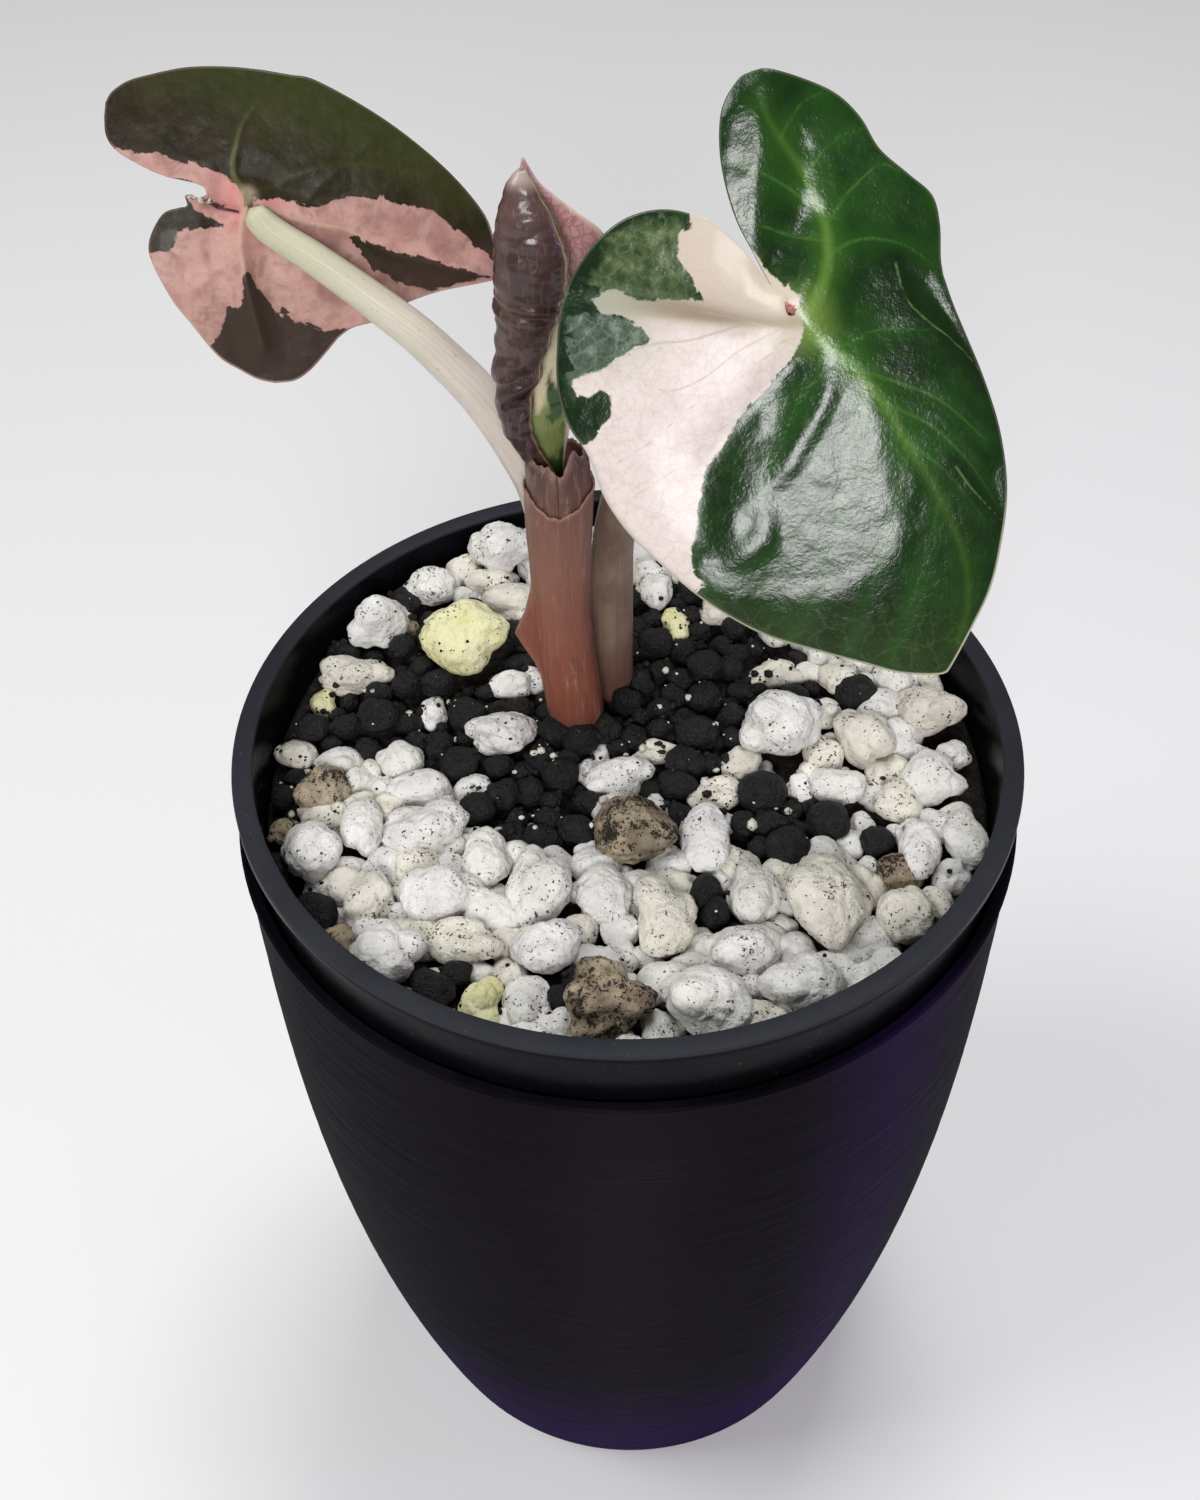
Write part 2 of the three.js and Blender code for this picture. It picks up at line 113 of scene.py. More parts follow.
class Finish:
    # one material, with the few node recipes that the pieces share; sizes and depths in mm
    def __init__(self, name, sockets=()):
        self.material = bpy.data.materials.new(name)
        self.material.use_nodes = True
        self.tree = self.material.node_tree
        self.surface = self.tree.nodes["Principled BSDF"]
        where = self.add("ShaderNodeTexCoord")
        self.place = where.outputs["Object"]
        self.sheet = where.outputs["UV"]
        for label, value in dict(sockets).items():
            self.feed(self.surface.inputs[label], value)

    def feed(self, socket, value):
        if isinstance(value, bpy.types.NodeSocket):
            self.tree.links.new(value, socket)
        elif socket.type == "RGBA" and len(value) == 3:
            socket.default_value = (*value, 1)
        else:
            socket.default_value = value

    def add(self, kind, inputs=(), **settings):
        node = self.tree.nodes.new(kind)
        for name, value in settings.items():
            setattr(node, name, value)
        for socket, value in dict(inputs).items():
            self.feed(node.inputs[socket], value)
        return node

    def spread(self, size, stretch, vector):
        scale = [share / (size * mm) for share in stretch] if vector is None else stretch
        return self.add(
            "ShaderNodeMapping", {"Vector": vector or self.place, "Scale": scale}
        ).outputs[0]

    def noise(self, size, detail=3, rough=0.5, stretch=(1, 1, 1), twist=0, vector=None):
        node = self.add("ShaderNodeTexNoise", {
            "Vector": self.spread(size, stretch, vector),
            "Scale": 1, "Detail": detail, "Roughness": rough, "Distortion": twist,
        })
        return node.outputs["Fac"]

    def cells(self, size, feature="F1", output="Distance", shake=0):
        at = self.spread(size, (1, 1, 1), None)
        if shake:  # wavy cell walls
            wave = self.add("ShaderNodeTexNoise", {"Vector": at, "Scale": 1.4, "Detail": 2})
            at = self.add("ShaderNodeMix", {0: shake, 4: at, 5: wave.outputs["Color"]},
                          data_type="VECTOR").outputs[1]
        return self.add("ShaderNodeTexVoronoi", {"Vector": at, "Scale": 1}, feature=feature).outputs[output]

    def calc(self, operation, a, b=0.5):
        return self.add("ShaderNodeMath", {0: a, 1: b}, operation=operation).outputs[0]

    def fade(self, value, low, high, start=0.0, end=1.0):
        return self.add("ShaderNodeMapRange", {
            "Value": value, "From Min": low, "From Max": high, "To Min": start, "To Max": end,
        }, interpolation_type="SMOOTHSTEP").outputs["Result"]

    def blend(self, amount, a, b):
        return self.add("ShaderNodeMix", {0: amount, 6: a, 7: b}, data_type="RGBA").outputs[2]

    def ramp(self, value, stops):
        node = self.add("ShaderNodeValToRGB", {"Fac": value})
        marks = node.color_ramp.elements
        for end, (at, colour) in zip((marks[0], marks[1]), (stops[0], stops[-1])):
            end.position = at
            end.color = (*colour, 1)
        for at, colour in stops[1:-1]:
            marks.new(at).color = (*colour, 1)
        return node.outputs["Color"]

    def read(self, name):
        return self.add("ShaderNodeAttribute", attribute_name=name).outputs["Fac"]

    def axis(self, letter):
        # the height, or another coordinate, in mm
        part = self.add("ShaderNodeSeparateXYZ", {0: self.place}).outputs[letter]
        return self.calc("MULTIPLY", part, 1 / mm)

    def bump(self, height, depth, under=None):
        inputs = {"Height": height, "Distance": depth * mm, "Strength": 1}
        if under:
            inputs["Normal"] = under
        return self.add("ShaderNodeBump", inputs).outputs["Normal"]

    def paint(self, colour=None, roughness=None, normal=None):
        for label, value in (("Base Color", colour), ("Roughness", roughness), ("Normal", normal)):
            if value is not None:
                self.feed(self.surface.inputs[label], value)
        return self


# Mesh helpers

def pick(piece):
    bpy.ops.object.select_all(action="DESELECT")
    piece.select_set(True)
    bpy.context.view_layer.objects.active = piece


def readPoints(piece):
    points = np.empty(len(piece.data.vertices) * 3)
    piece.data.vertices.foreach_get("co", points)
    return points.reshape(-1, 3)


def setPoints(piece, points):
    piece.data.vertices.foreach_set("co", (np.asarray(points) * mm).ravel())
    piece.data.update()


def gridPiece(name, across, along):
    # a flat grid to be bent into shape, with its columns and rows as shares from 0 to 1
    bpy.ops.mesh.primitive_grid_add(x_subdivisions=across, y_subdivisions=along, size=2)
    piece = bpy.context.object
    piece.name = piece.data.name = name
    flat = readPoints(piece)
    return piece, (flat[:, 0] + 1) / 2, (flat[:, 1] + 1) / 2


def weld(piece, gap=0.005):
    pick(piece)
    bpy.ops.object.mode_set(mode="EDIT")
    bpy.ops.mesh.select_all(action="SELECT")
    bpy.ops.mesh.remove_doubles(threshold=gap * mm)
    bpy.ops.mesh.normals_make_consistent(inside=False)
    bpy.ops.object.mode_set(mode="OBJECT")


def faceAlong(piece, way):
    # turn a sheet's faces round if most of them look away from a direction
    normals = np.empty(len(piece.data.polygons) * 3)
    piece.data.polygons.foreach_get("normal", normals)
    if (normals.reshape(-1, 3) @ np.asarray(way)).sum() < 0:
        piece.data.flip_normals()


def thicken(piece, thickness, offset=-1, back=0, rim=0):
    pick(piece)
    wall = piece.modifiers.new("wall", "SOLIDIFY")
    wall.thickness = thickness * mm
    wall.offset = offset
    wall.use_even_offset = False
    wall.material_offset = back
    wall.material_offset_rim = rim
    bpy.ops.object.modifier_apply(modifier=wall.name)


def mark(piece, **values):
    for name, value in values.items():
        layer = piece.data.attributes.new(name, "FLOAT", "POINT")
        layer.data.foreach_set("value", np.ascontiguousarray(value, dtype=np.float32))


def finishPiece(piece, finishes, nodes=()):
    piece.data.materials.clear()
    for finish in finishes:
        piece.data.materials.append(finish.material)
    pick(piece)
    bpy.ops.object.shade_smooth()
    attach(piece, "root")
    if nodes:
        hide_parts(*nodes)
    return piece


def crumple(points, size, octaves=3):
    # soft random heights of about -1 to 1, with features of that size
    return np.array([noise.fractal(Vector(point) / size, 0.9, 2.0, octaves) for point in points])


def smoothStep(value, low, high):
    share = np.clip((value - low) / (high - low), 0, 1)
    return share * share * (3 - 2 * share)


def smoothPath(points, count):
    # evenly spaced points on a smooth curve through the given ones
    known = np.array(points, float)
    known = np.vstack([2 * known[0] - known[1], known, 2 * known[-1] - known[-2]])
    share = np.linspace(0, 1, 12, endpoint=False)[:, None]
    fine = []
    for a, b, c, d in zip(known[:-3], known[1:-2], known[2:-1], known[3:]):
        fine.append(0.5 * (2 * b + (c - a) * share + (2 * a - 5 * b + 4 * c - d) * share ** 2
                           + (3 * b - a - 3 * c + d) * share ** 3))
    fine = np.vstack(fine + [known[-2:-1]])
    run = np.concatenate([[0], np.cumsum(np.linalg.norm(np.diff(fine, axis=0), axis=1))])
    at = np.linspace(0, run[-1], count)
    return np.stack([np.interp(at, run, column) for column in fine.T], axis=1)


floorFinish = Finish("floorPaper", {"Base Color": floorSheet["colour"], "Roughness": 0.9})
bpy.ops.mesh.primitive_plane_add(size=floorSheet["size"] * mm)
floorPiece = bpy.context.object
floorPiece.name = "studio_floor"
floorPiece.data.materials.append(floorFinish.material)
floorPiece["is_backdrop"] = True


# Pots: a wall section spun about the middle

coverPot = {
    "height": 125.2, "mouth": 50.3, "base": 38, "wall": 1.2, "floor": 2.4,
    "belly": 14, "bellyHeight": 55, "shoulder": 26, "foot": 0.5,
    "bead": 0.35, "beadFoot": 1.1, "beadLow": 0.8, "beadHigh": 0.3, "rimRound": 0.2,
    "layer": 0.55, "lastLayer": 1.2, "wander": 0.03, "insideStep": 3, "turns": 144,
}
linerPot = {
    "lip": 50, "top": 135, "lipHeight": 1.7, "edge": 0.3, "collar": 48.7, "collarBottom": 124,
    "wall": 1.3, "floorTop": 21.6, "floorRadius": 36.5, "foot": 34.5, "footHeight": 2.7,
    "floorUnder": 20, "hole": 2.5, "holeRing": 22, "holes": 8, "arch": 18, "archHeight": 11, "turns": 160,
}


def turnedPiece(name, section, turns):
    bpy.ops.mesh.primitive_circle_add(vertices=len(section))
    piece = bpy.context.object
    piece.name = piece.data.name = name
    setPoints(piece, [(radius, 0, height) for radius, height in section])
    bpy.ops.object.mode_set(mode="EDIT")
    bpy.ops.mesh.select_all(action="SELECT")
    bpy.ops.mesh.spin(steps=turns, angle=2 * math.pi, center=(0, 0, 0), axis=(0, 0, 1))
    bpy.ops.mesh.select_all(action="SELECT")
    bpy.ops.mesh.remove_doubles(threshold=0.005 * mm)
    bpy.ops.mesh.delete_loose()
    bpy.ops.mesh.select_all(action="SELECT")
    bpy.ops.mesh.normals_make_consistent(inside=False)
    bpy.ops.object.mode_set(mode="OBJECT")
    return piece


def coverRadius(height):
    # the cover's side is one curve, from its small base through the belly to the mouth
    c = coverPot
    t = np.linspace(0, 1, 200)
    heights = (3 * t * (1 - t) ** 2 * c["bellyHeight"]
               + 3 * t ** 2 * (1 - t) * (c["height"] - c["shoulder"]) + t ** 3 * c["height"])
    radii = ((1 - t) ** 3 * c["base"] + 3 * t * (1 - t) ** 2 * (c["base"] + c["belly"])
             + 3 * t ** 2 * (1 - t) * c["mouth"] + t ** 3 * c["mouth"])
    return float(np.interp(height, heights, radii))


def makeCoverPot():
    c = coverPot
    chance = random.Random(3)
    section = [(0, 0), (c["base"] - c["foot"], 0)]
    for height in np.arange(c["foot"], c["height"] - c["lastLayer"], c["layer"]):
        section.append((coverRadius(height) + chance.uniform(-1, 1) * c["wander"], height))
    rim, mouth = c["height"], c["mouth"]
    section += [
        (mouth, rim - c["beadFoot"]), (mouth + c["bead"], rim - c["beadLow"]),
        (mouth + c["bead"], rim - c["beadHigh"]), (mouth, rim),
        (mouth - c["wall"] + c["rimRound"], rim), (mouth - c["wall"], rim - c["beadHigh"]),
    ]
    for height in np.arange(rim - c["insideStep"], c["floor"] + 1, -c["insideStep"]):
        section.append((coverRadius(height) - c["wall"], height))
    section += [(c["base"] - c["wall"], c["floor"]), (0, c["floor"])]
    return turnedPiece("cover_pot_turned", section, c["turns"])


def coverFinish():
    f = Finish("coverPrint", {
        "Specular IOR Level": 0.07, "Specular Tint": (0.75, 0.65, 1.0, 1), "Anisotropic": 0.9,
        "Anisotropic Rotation": 0.25,
    })
    layers = f.noise(0.5, detail=2, stretch=(0.02, 0.02, 1))
    streaks = f.noise(0.3, detail=2, rough=0.6, stretch=(0.035, 0.035, 1))
    patches = f.noise(26, detail=2, stretch=(1, 1, 0.8))
    height = f.axis("Z")
    # violet towards the bottom is a painted reflection
    colour = f.blend(f.fade(height, 52, 0), (0.0032, 0.0023, 0.0036), (0.012, 0.0026, 0.04))
    # a painted violet reflection shows most in one upright band on the right
    bearing = f.calc("ARCTAN2", f.axis("X"), f.calc("MULTIPLY", f.axis("Y"), -1))
    band = f.fade(f.calc("ABSOLUTE", f.calc("SUBTRACT", bearing, 0.68), 0), 0.34, 0.0)
    colour = f.blend(f.calc("MULTIPLY", band, 0.45), colour, (0.02, 0.008, 0.055))
    # lighter streaks on the upper front are a painted sheen along the layer lines
    facing = f.fade(f.calc("ABSOLUTE", bearing, 0), 0.8, 0.1, 0.15, 0.9)
    frontSheen = f.calc("MULTIPLY", f.fade(height, 55, 85), facing)
    sheenStreaks = f.calc("MULTIPLY", f.fade(streaks, 0.45, 0.75), f.fade(patches, 0.35, 0.62, 0.15, 0.9))
    colour = f.blend(f.calc("MULTIPLY", sheenStreaks, frontSheen), colour, (0.013, 0.012, 0.015))
    roughness = f.fade(streaks, 0.3, 0.7, 0.5, 0.62)
    tangent = f.add("ShaderNodeTangent", direction_type="RADIAL", axis="Z").outputs[0]
    f.feed(f.surface.inputs["Tangent"], tangent)
    return f.paint(colour, roughness, f.bump(layers, 0.03))


def makeLinerPot():
    p = linerPot
    inner = p["collar"] - p["wall"]
    section = [
        (0, p["floorUnder"]), (p["floorRadius"] - p["wall"], p["floorUnder"]),
        (p["foot"] - p["wall"], p["footHeight"]), (p["foot"], p["footHeight"]),
        (p["floorRadius"], p["floorTop"]), (p["collar"] - 0.15, p["collarBottom"] - 0.2),
        (p["collar"], p["collarBottom"]), (p["collar"], p["top"] - p["lipHeight"] - 0.3),
        (p["collar"] + 0.3, p["top"] - p["lipHeight"]), (p["lip"] - 0.2, p["top"] - p["lipHeight"]),
        (p["lip"], p["top"] - p["lipHeight"] + 0.2), (p["lip"], p["top"] - p["edge"]),
        (p["lip"] - 0.1, p["top"] - 0.08), (p["lip"] - p["edge"], p["top"]),
        ((p["lip"] + inner) / 2, p["top"] - 0.06),
        (inner + p["edge"], p["top"]), (inner + 0.08, p["top"] - 0.1), (inner, p["top"] - p["edge"]),
        (inner, p["collarBottom"]), (p["floorRadius"] - p["wall"], p["floorTop"]), (0, p["floorTop"]),
    ]
    piece = turnedPiece("liner_pot_turned", section, p["turns"])
    cutters = []
    for turn in (45, 135):
        bpy.ops.mesh.primitive_cube_add(size=1, location=(0, 0, p["footHeight"] * mm))
        cutters.append(bpy.context.object)
        cutters[-1].scale = Vector((2 * p["lip"], p["arch"], 2 * p["archHeight"])) * mm
        cutters[-1].rotation_euler.z = math.radians(turn)
    for i in range(p["holes"] + 1):
        ring = p["holeRing"] if i else 0
        angle = i / p["holes"] * 2 * math.pi
        at = Vector((ring * math.cos(angle), ring * math.sin(angle), p["floorUnder"])) * mm
        bpy.ops.mesh.primitive_cylinder_add(vertices=24, radius=p["hole"] * mm, depth=6 * mm, location=at)
        cutters.append(bpy.context.object)
    for cutter in cutters:
        pick(piece)
        cut = piece.modifiers.new("cut", "BOOLEAN")
        cut.operation = "DIFFERENCE"
        cut.object = cutter
        bpy.ops.object.modifier_apply(modifier=cut.name)
        bpy.data.objects.remove(cutter)
    return piece


def linerFinish():
    f = Finish("linerPlastic", {"Specular IOR Level": 0.06, "Specular Tint": (0.8, 0.85, 1, 1)})
    height = f.axis("Z")
    lipTop = f.fade(height, 134.4, 134.75)
    scuffs = f.noise(7, detail=6, rough=0.7)
    grain = f.noise(0.5, detail=2)
    dust = f.fade(f.noise(0.7, detail=2, rough=0.7), 0.7, 0.78)
    black = f.blend(scuffs, (0.0015, 0.0015, 0.0022), (0.004, 0.004, 0.0055))
    slate = f.blend(scuffs, (0.017, 0.019, 0.024), (0.036, 0.037, 0.043))
    colour = f.blend(lipTop, black, slate)
    colour = f.blend(f.calc("MULTIPLY", dust, 0.3), colour, (0.16, 0.15, 0.14))
    roughness = f.calc("ADD", f.fade(lipTop, 0, 1, 0.24, 0.42), f.fade(scuffs, 0.3, 0.7, 0, 0.12))
    return f.paint(colour, roughness, f.bump(grain, 0.012))


coverPiece = finishPiece(makeCoverPot(), [coverFinish()], ["cover_pot"])
linerPiece = finishPiece(makeLinerPot(), [linerFinish()], ["liner_pot"])
for piece in (coverPiece, linerPiece):
    pick(piece)
    bpy.ops.object.shade_smooth_by_angle(angle=math.radians(35))
print("pots turned")


# Potting mix

bed = {"height": 123.5, "rise": 0.15, "radius": 47.1, "floor": 21.9, "floorRadius": 34.9, "rough": 1.0}


def bedHeight(y):
    return bed["height"] + bed["rise"] * np.maximum(0, y)


def makeMix():
    piece, u, v = gridPiece("potting_mix_body", 200, 90)
    angle = u * 2 * math.pi
    topShare, wallShare = 0.8, 0.95
    radius = np.interp(v, [0, topShare, wallShare, 1], [0, bed["radius"], bed["floorRadius"], 0])
    x, y = radius * np.cos(angle), radius * np.sin(angle)
    top = bedHeight(y)
    ground = np.stack([x, y, np.zeros_like(x)], axis=1)
    crumbs = crumple(ground, 2.6, 3) + 0.5 * crumple(ground + 40, 0.9, 2)
    edge = smoothStep(v, topShare, topShare - 0.02)
    height = np.where(v <= topShare, top + bed["rough"] * crumbs * edge,
                      np.interp(v, [topShare, wallShare, 1], [1, 0, 0]) * (top - bed["floor"]) + bed["floor"])
    setPoints(piece, np.stack([x, y, height], axis=1))
    weld(piece, 0.02)
    return piece


def soilFinish(name="mixCrumb", tone=1.0):
    f = Finish(name, {"Specular IOR Level": 0.25})
    lumps = f.noise(1.1, detail=4, rough=0.65)
    specks = f.fade(f.noise(0.45, detail=2, rough=0.7), 0.62, 0.72)
    colour = f.ramp(lumps, [(0.3, (0.006 * tone, 0.005 * tone, 0.005 * tone)),
                            (0.55, (0.016 * tone, 0.013 * tone, 0.011 * tone)),
                            (0.75, (0.042 * tone, 0.03 * tone, 0.022 * tone))])
    colour = f.blend(f.calc("MULTIPLY", specks, 0.5), colour, (0.16, 0.13, 0.1))
    return f.paint(colour, f.fade(lumps, 0.3, 0.7, 0.95, 0.6), f.bump(lumps, 0.5, f.bump(f.noise(0.3), 0.15)))


mixFinish = soilFinish()
finishPiece(makeMix(), [mixFinish], ["potting_mix"])
print("mix laid")


# Mineral lumps and granules

lumpKinds = {  # body, shade, stain, how many specks, how much stain
    "white": ((0.80, 0.79, 0.765), (0.66, 0.645, 0.62), (0.42, 0.37, 0.28), 0.30, 0.12),
    "cream": ((0.77, 0.735, 0.65), (0.58, 0.545, 0.48), (0.40, 0.33, 0.22), 0.42, 0.30),
    "yellow": ((0.80, 0.78, 0.50), (0.72, 0.70, 0.33), (0.36, 0.36, 0.15), 0.22, 0.15),
    "brown": ((0.44, 0.36, 0.25), (0.14, 0.10, 0.07), (0.055, 0.038, 0.024), 1.3, 0.95),
}
nodeKinds = {
    "yellow": (4, 16), "cream": (5, 13, 15, 21, 31, 32, 36, 38), "brown": (6, 22, 24),
}
looseLumps = [  # kind, x, y, width, depth
    ("cream", -18.4, 34.6, 8, 5), ("cream", -44, 5, 6, 5), ("white", -30, 3, 6.6, 5.6),
    ("white", -20, -1, 5.6, 4.6), ("white", -1.4, -25.4, 5, 6), ("cream", 11.5, -3.4, 7.6, 5),
    ("brown", 33.7, -17, 6.2, 5.4), ("white", 27.5, -2.6, 7.2, 6), ("cream", 34.8, -6, 6.5, 6),
    ("cream", 21, 17, 8.2, 4.6), ("cream", 29.6, 15.4, 6, 6), ("yellow", -41, 13.6, 3.8, 5),
    ("brown", -44, -7.6, 4.6, 4), ("brown", -35.4, -25.6, 4.4, 4.4), ("cream", 3.9, 4.4, 6.6, 3.8),
    ("white", 26.6, -33.6, 4.8, 5), ("cream", 37.6, -22, 4.4, 6), ("white", 43.4, 3, 5, 4.6),
    ("cream", 42, 15.6, 3.4, 6.4), ("white", 36.8, 15, 5.4, 5.4), ("cream", 27.2, 10, 4.6, 5),
    ("white", 30, -8.6, 3.4, 5), ("white", 22.6, -2.4, 3.8, 4.8), ("cream", 15.2, 1.8, 5.4, 5.6),
    ("brown", -30.4, 27, 4, 3.8), ("brown", -27.6, 34, 4, 5), ("white", -26, 11.8, 4, 6),
    ("white", -3.4, 4.6, 2.8, 4.2), ("white", -15.6, 15.8, 6, 5), ("yellow", 7.6, 26, 4, 6),
    ("white", 5, 32, 5, 6.6), ("white", 2.6, 39, 6, 5), ("white", 14, 38, 8, 7), ("cream", 24, 33, 7, 8),
    ("white", 33, 25, 8, 7), ("cream", 14, 28, 6, 5), ("white", 22, 24, 6, 6), ("white", -8, 33, 7, 6),
    ("cream", 38, 21.4, 5, 6), ("white", -4, 26, 5, 4.5),
]
darkGround = [  # x, y, half width, half depth of the places that only granules cover
    (-34, 14, 15, 9), (-46, 2, 5, 13), (-27, 20, 14, 10), (-16, 4, 10, 7), (-12, -5, 10, 6), (-5, 8, 14, 5),
    (7, 2, 9, 5), (8, 17, 10, 16),
    (27, 13, 6, 4), (21, -9, 7, 6), (12, -3, 5, 4), (6, -8, 3, 4), (11, -23, 3, 4), (-22, -34, 3, 3),
    (-9, -35, 3, 3), (0, 20, 10, 12), (-33, 30, 5, 5), (-16, 12, 8, 5), (17, 20, 8, 10),
]
fillers = {
    "tries": 9000, "reach": 46.5, "edge": 46.6, "granule": (0.9, 2.7), "lump": (1.3, 3.4), "sink": 0.5,
    "coarse": 90,  # how many of each kind get the finer mesh
}
crumbRain = {
    "tries": 5200, "reach": 46.6, "from": 143, "least": 0.3, "more": 1.1, "onLump": 3.2, "tooHigh": 8,
    "offStalks": 5,
}
footGranules = [  # x, y, radius
    (-9.3, 7.4, 2.3), (-5.9, 5.9, 2.5), (-2.5, 7.6, 2.2), (0.4, 12.6, 2.1), (2.4, 15.6, 1.9),
    (-10.6, 11, 1.8),
]
stalkFeet = [(-6.2, 10.3, 2.6), (-1.5, 16.6, 2.4), (-8, 18.6, 2.2)]  # x, y, radius


def roundness(ways, chance, knobs, spread, blend=14):
    # how far a body of overlapping balls reaches along each direction
    total = np.full(len(ways), math.exp(blend * 0.66))
    for _ in range(knobs):
        aim = Vector([chance.gauss(0, 1) for _ in range(3)]).normalized()
        out = chance.uniform(0.6, 1) * spread
        ball = chance.uniform(0.26, 0.5)
        along = (ways @ np.array(aim)) * out
        room = along ** 2 - out ** 2 + ball ** 2
        total += np.exp(blend * np.where((room > 0) & (along > 0), along + np.sqrt(np.maximum(room, 0)), 0))
    return np.log(total) / blend


def lumpPoints(ways, low, high, seed, knobs=8, spread=0.62, rough=0.05):
    chance = random.Random(seed)
    reach = roundness(ways, chance, knobs, spread)
    reach *= 1 + rough * crumple(ways * 1.3 + seed, 0.7, 3) + rough * 0.55 * crumple(ways + seed * 3, 0.22, 2)
    for _ in range(3):  # a few broken faces
        aim = np.array(Vector([chance.gauss(0, 1) for _ in range(3)]).normalized())
        facing = np.maximum(ways @ aim, 0.05)
        reach = np.minimum(reach, chance.uniform(0.74, 0.95) / facing)
    turn = Matrix.Rotation(chance.uniform(0, 6.3), 3, "Z") @ Matrix.Rotation(chance.uniform(0, 3), 3, "X")
    body = (ways * reach[:, None]) @ np.array(turn)
    least, most = body.min(axis=0), body.max(axis=0)
    return low + (body - least) / (most - least) * (high - low)


def ballPiece(name, level):
    bpy.ops.mesh.primitive_ico_sphere_add(subdivisions=level, radius=1)
    piece = bpy.context.object
    piece.name = piece.data.name = name
    ways = readPoints(piece)
    return piece, ways / np.linalg.norm(ways, axis=1)[:, None]


def chalkFinish(kind):
    body, shade, stain, specks, stained = lumpKinds[kind]
    f = Finish(kind + "Chalk", {"Specular IOR Level": 0.22, "Subsurface Weight": 0.12,
                                "Subsurface Radius": (0.0012, 0.0009, 0.0006), "Subsurface Scale": 0.6})
    cloud = f.noise(4.5, detail=4, rough=0.6)
    tint = f.noise(13, detail=1)
    speckle = f.noise(0.42, detail=2, rough=0.55)
    grit = f.noise(0.95, detail=3, rough=0.65)
    where = f.noise(3.6, detail=2, rough=0.6)
    pits = f.cells(1.3, feature="SMOOTH_F1")
    hollow = f.fade(f.add("ShaderNodeNewGeometry").outputs["Pointiness"], 0.5, 0.43)
    colour = f.blend(f.fade(cloud, 0.35, 0.7), body, shade)
    colour = f.blend(f.fade(tint, 0.45, 0.7, 0, 0.35), colour, f.blend(0.5, body, (0.74, 0.74, 0.56)))
    patchy = f.fade(where, 0.62 - 0.2 * stained, 0.8, 0, stained)
    # the darker stain colour goes into the hollows and into patches
    hollowsAndPatches = f.calc("MAXIMUM", f.calc("MULTIPLY", hollow, 0.7), patchy)
    colour = f.blend(hollowsAndPatches, colour, stain)
    many = f.fade(where, 0.35, 0.72, 0.73 - 0.05 * specks, 0.65 - 0.13 * specks)
    dots = f.fade(f.calc("SUBTRACT", speckle, many), -0.015, 0.015)
    bits = f.fade(f.calc("SUBTRACT", grit, f.calc("ADD", many, 0.015)), -0.01, 0.02)
    colour = f.blend(f.calc("MULTIPLY", f.calc("MAXIMUM", dots, bits), 0.93), colour, (0.02, 0.015, 0.011))
    fine = f.bump(f.noise(0.3, detail=3, rough=0.65), 0.09)
    return f.paint(colour, 0.9, f.bump(pits, -0.35, f.bump(f.noise(2.2, detail=5, rough=0.62), 0.85, fine)))


def granuleFinish():
    f = Finish("blackGranule", {"Specular IOR Level": 0.4})
    tone = f.noise(1.6, detail=4, rough=0.65)
    grain = f.noise(0.4, detail=3, rough=0.6)
    dust = f.fade(f.noise(0.5, detail=2), 0.68, 0.76)
    colour = f.ramp(tone, [
        (0.3, (0.002, 0.002, 0.0024)), (0.55, (0.006, 0.0055, 0.006)), (0.75, (0.028, 0.024, 0.021)),
    ])
    colour = f.blend(f.calc("MULTIPLY", dust, 0.35), colour, (0.09, 0.08, 0.07))
    return f.paint(colour, f.fade(tone, 0.3, 0.7, 0.5, 0.75), f.bump(grain, 0.3, f.bump(tone, 1.0)))


chalk = {kind: chalkFinish(kind) for kind in lumpKinds}
blackGranule = granuleFinish()
filled = []  # x, y and the half sizes of all that lies on the mix


def makeNodeLumps():
    kinds = {number: kind for kind, numbers in nodeKinds.items() for number in numbers}
    for name in sorted(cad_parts):
        if not name.startswith(("lump_", "granule_")):
            continue
        low, high = (np.array(corner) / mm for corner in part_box(name))
        filled.append((*((low + high) / 2)[:2], *((high - low) / 2)[:2]))
        number = int(name[-2:])
        if name.startswith("lump_"):
            piece, ways = ballPiece(name + "_rough", 5)
            grow = np.array([0.3, 0.3, 0.2])
            kind = kinds.get(number, "white")
            rough = 0.1 if kind == "brown" else 0.065
            points = lumpPoints(ways, low - grow, high + grow + [0, 0, 0.5], number, rough=rough)
            finish, slot = chalk[kind], kind + "_lump"
        else:
            piece, ways = ballPiece(name + "_rough", 4)
            grow = np.array([0.2, 0.2, 0.4])
            points = lumpPoints(ways, low - grow, high + grow, 50 + number, knobs=4, spread=0.45, rough=0.07)
            finish, slot = blackGranule, "black_granule"
        setPoints(piece, points)
        finishPiece(piece, [finish], [name])


def heap(name, bodies, level, finish, knobs=7, spread=0.62, rough=0.06):
    # many small bodies in one piece: x, y, bottom, width, depth, height and seed of each
    piece, ways = ballPiece(name, level)
    one = piece.data
    faces = np.empty(len(one.polygons) * 3, int)
    one.polygons.foreach_get("vertices", faces)
    points = []
    for x, y, bottom, width, depth, height, seed in bodies:
        low = np.array([x - width / 2, y - depth / 2, bottom])
        points.append(lumpPoints(ways, low, low + [width, depth, height], seed, knobs, spread, rough))
    allFaces = np.concatenate([faces + i * len(ways) for i in range(len(bodies))]).reshape(-1, 3)
    mesh = bpy.data.meshes.new(name)
    mesh.from_pydata((np.vstack(points) * mm).tolist(), [], allFaces.tolist())
    piece.data = mesh
    bpy.data.meshes.remove(one)
    return finishPiece(piece, [finish])


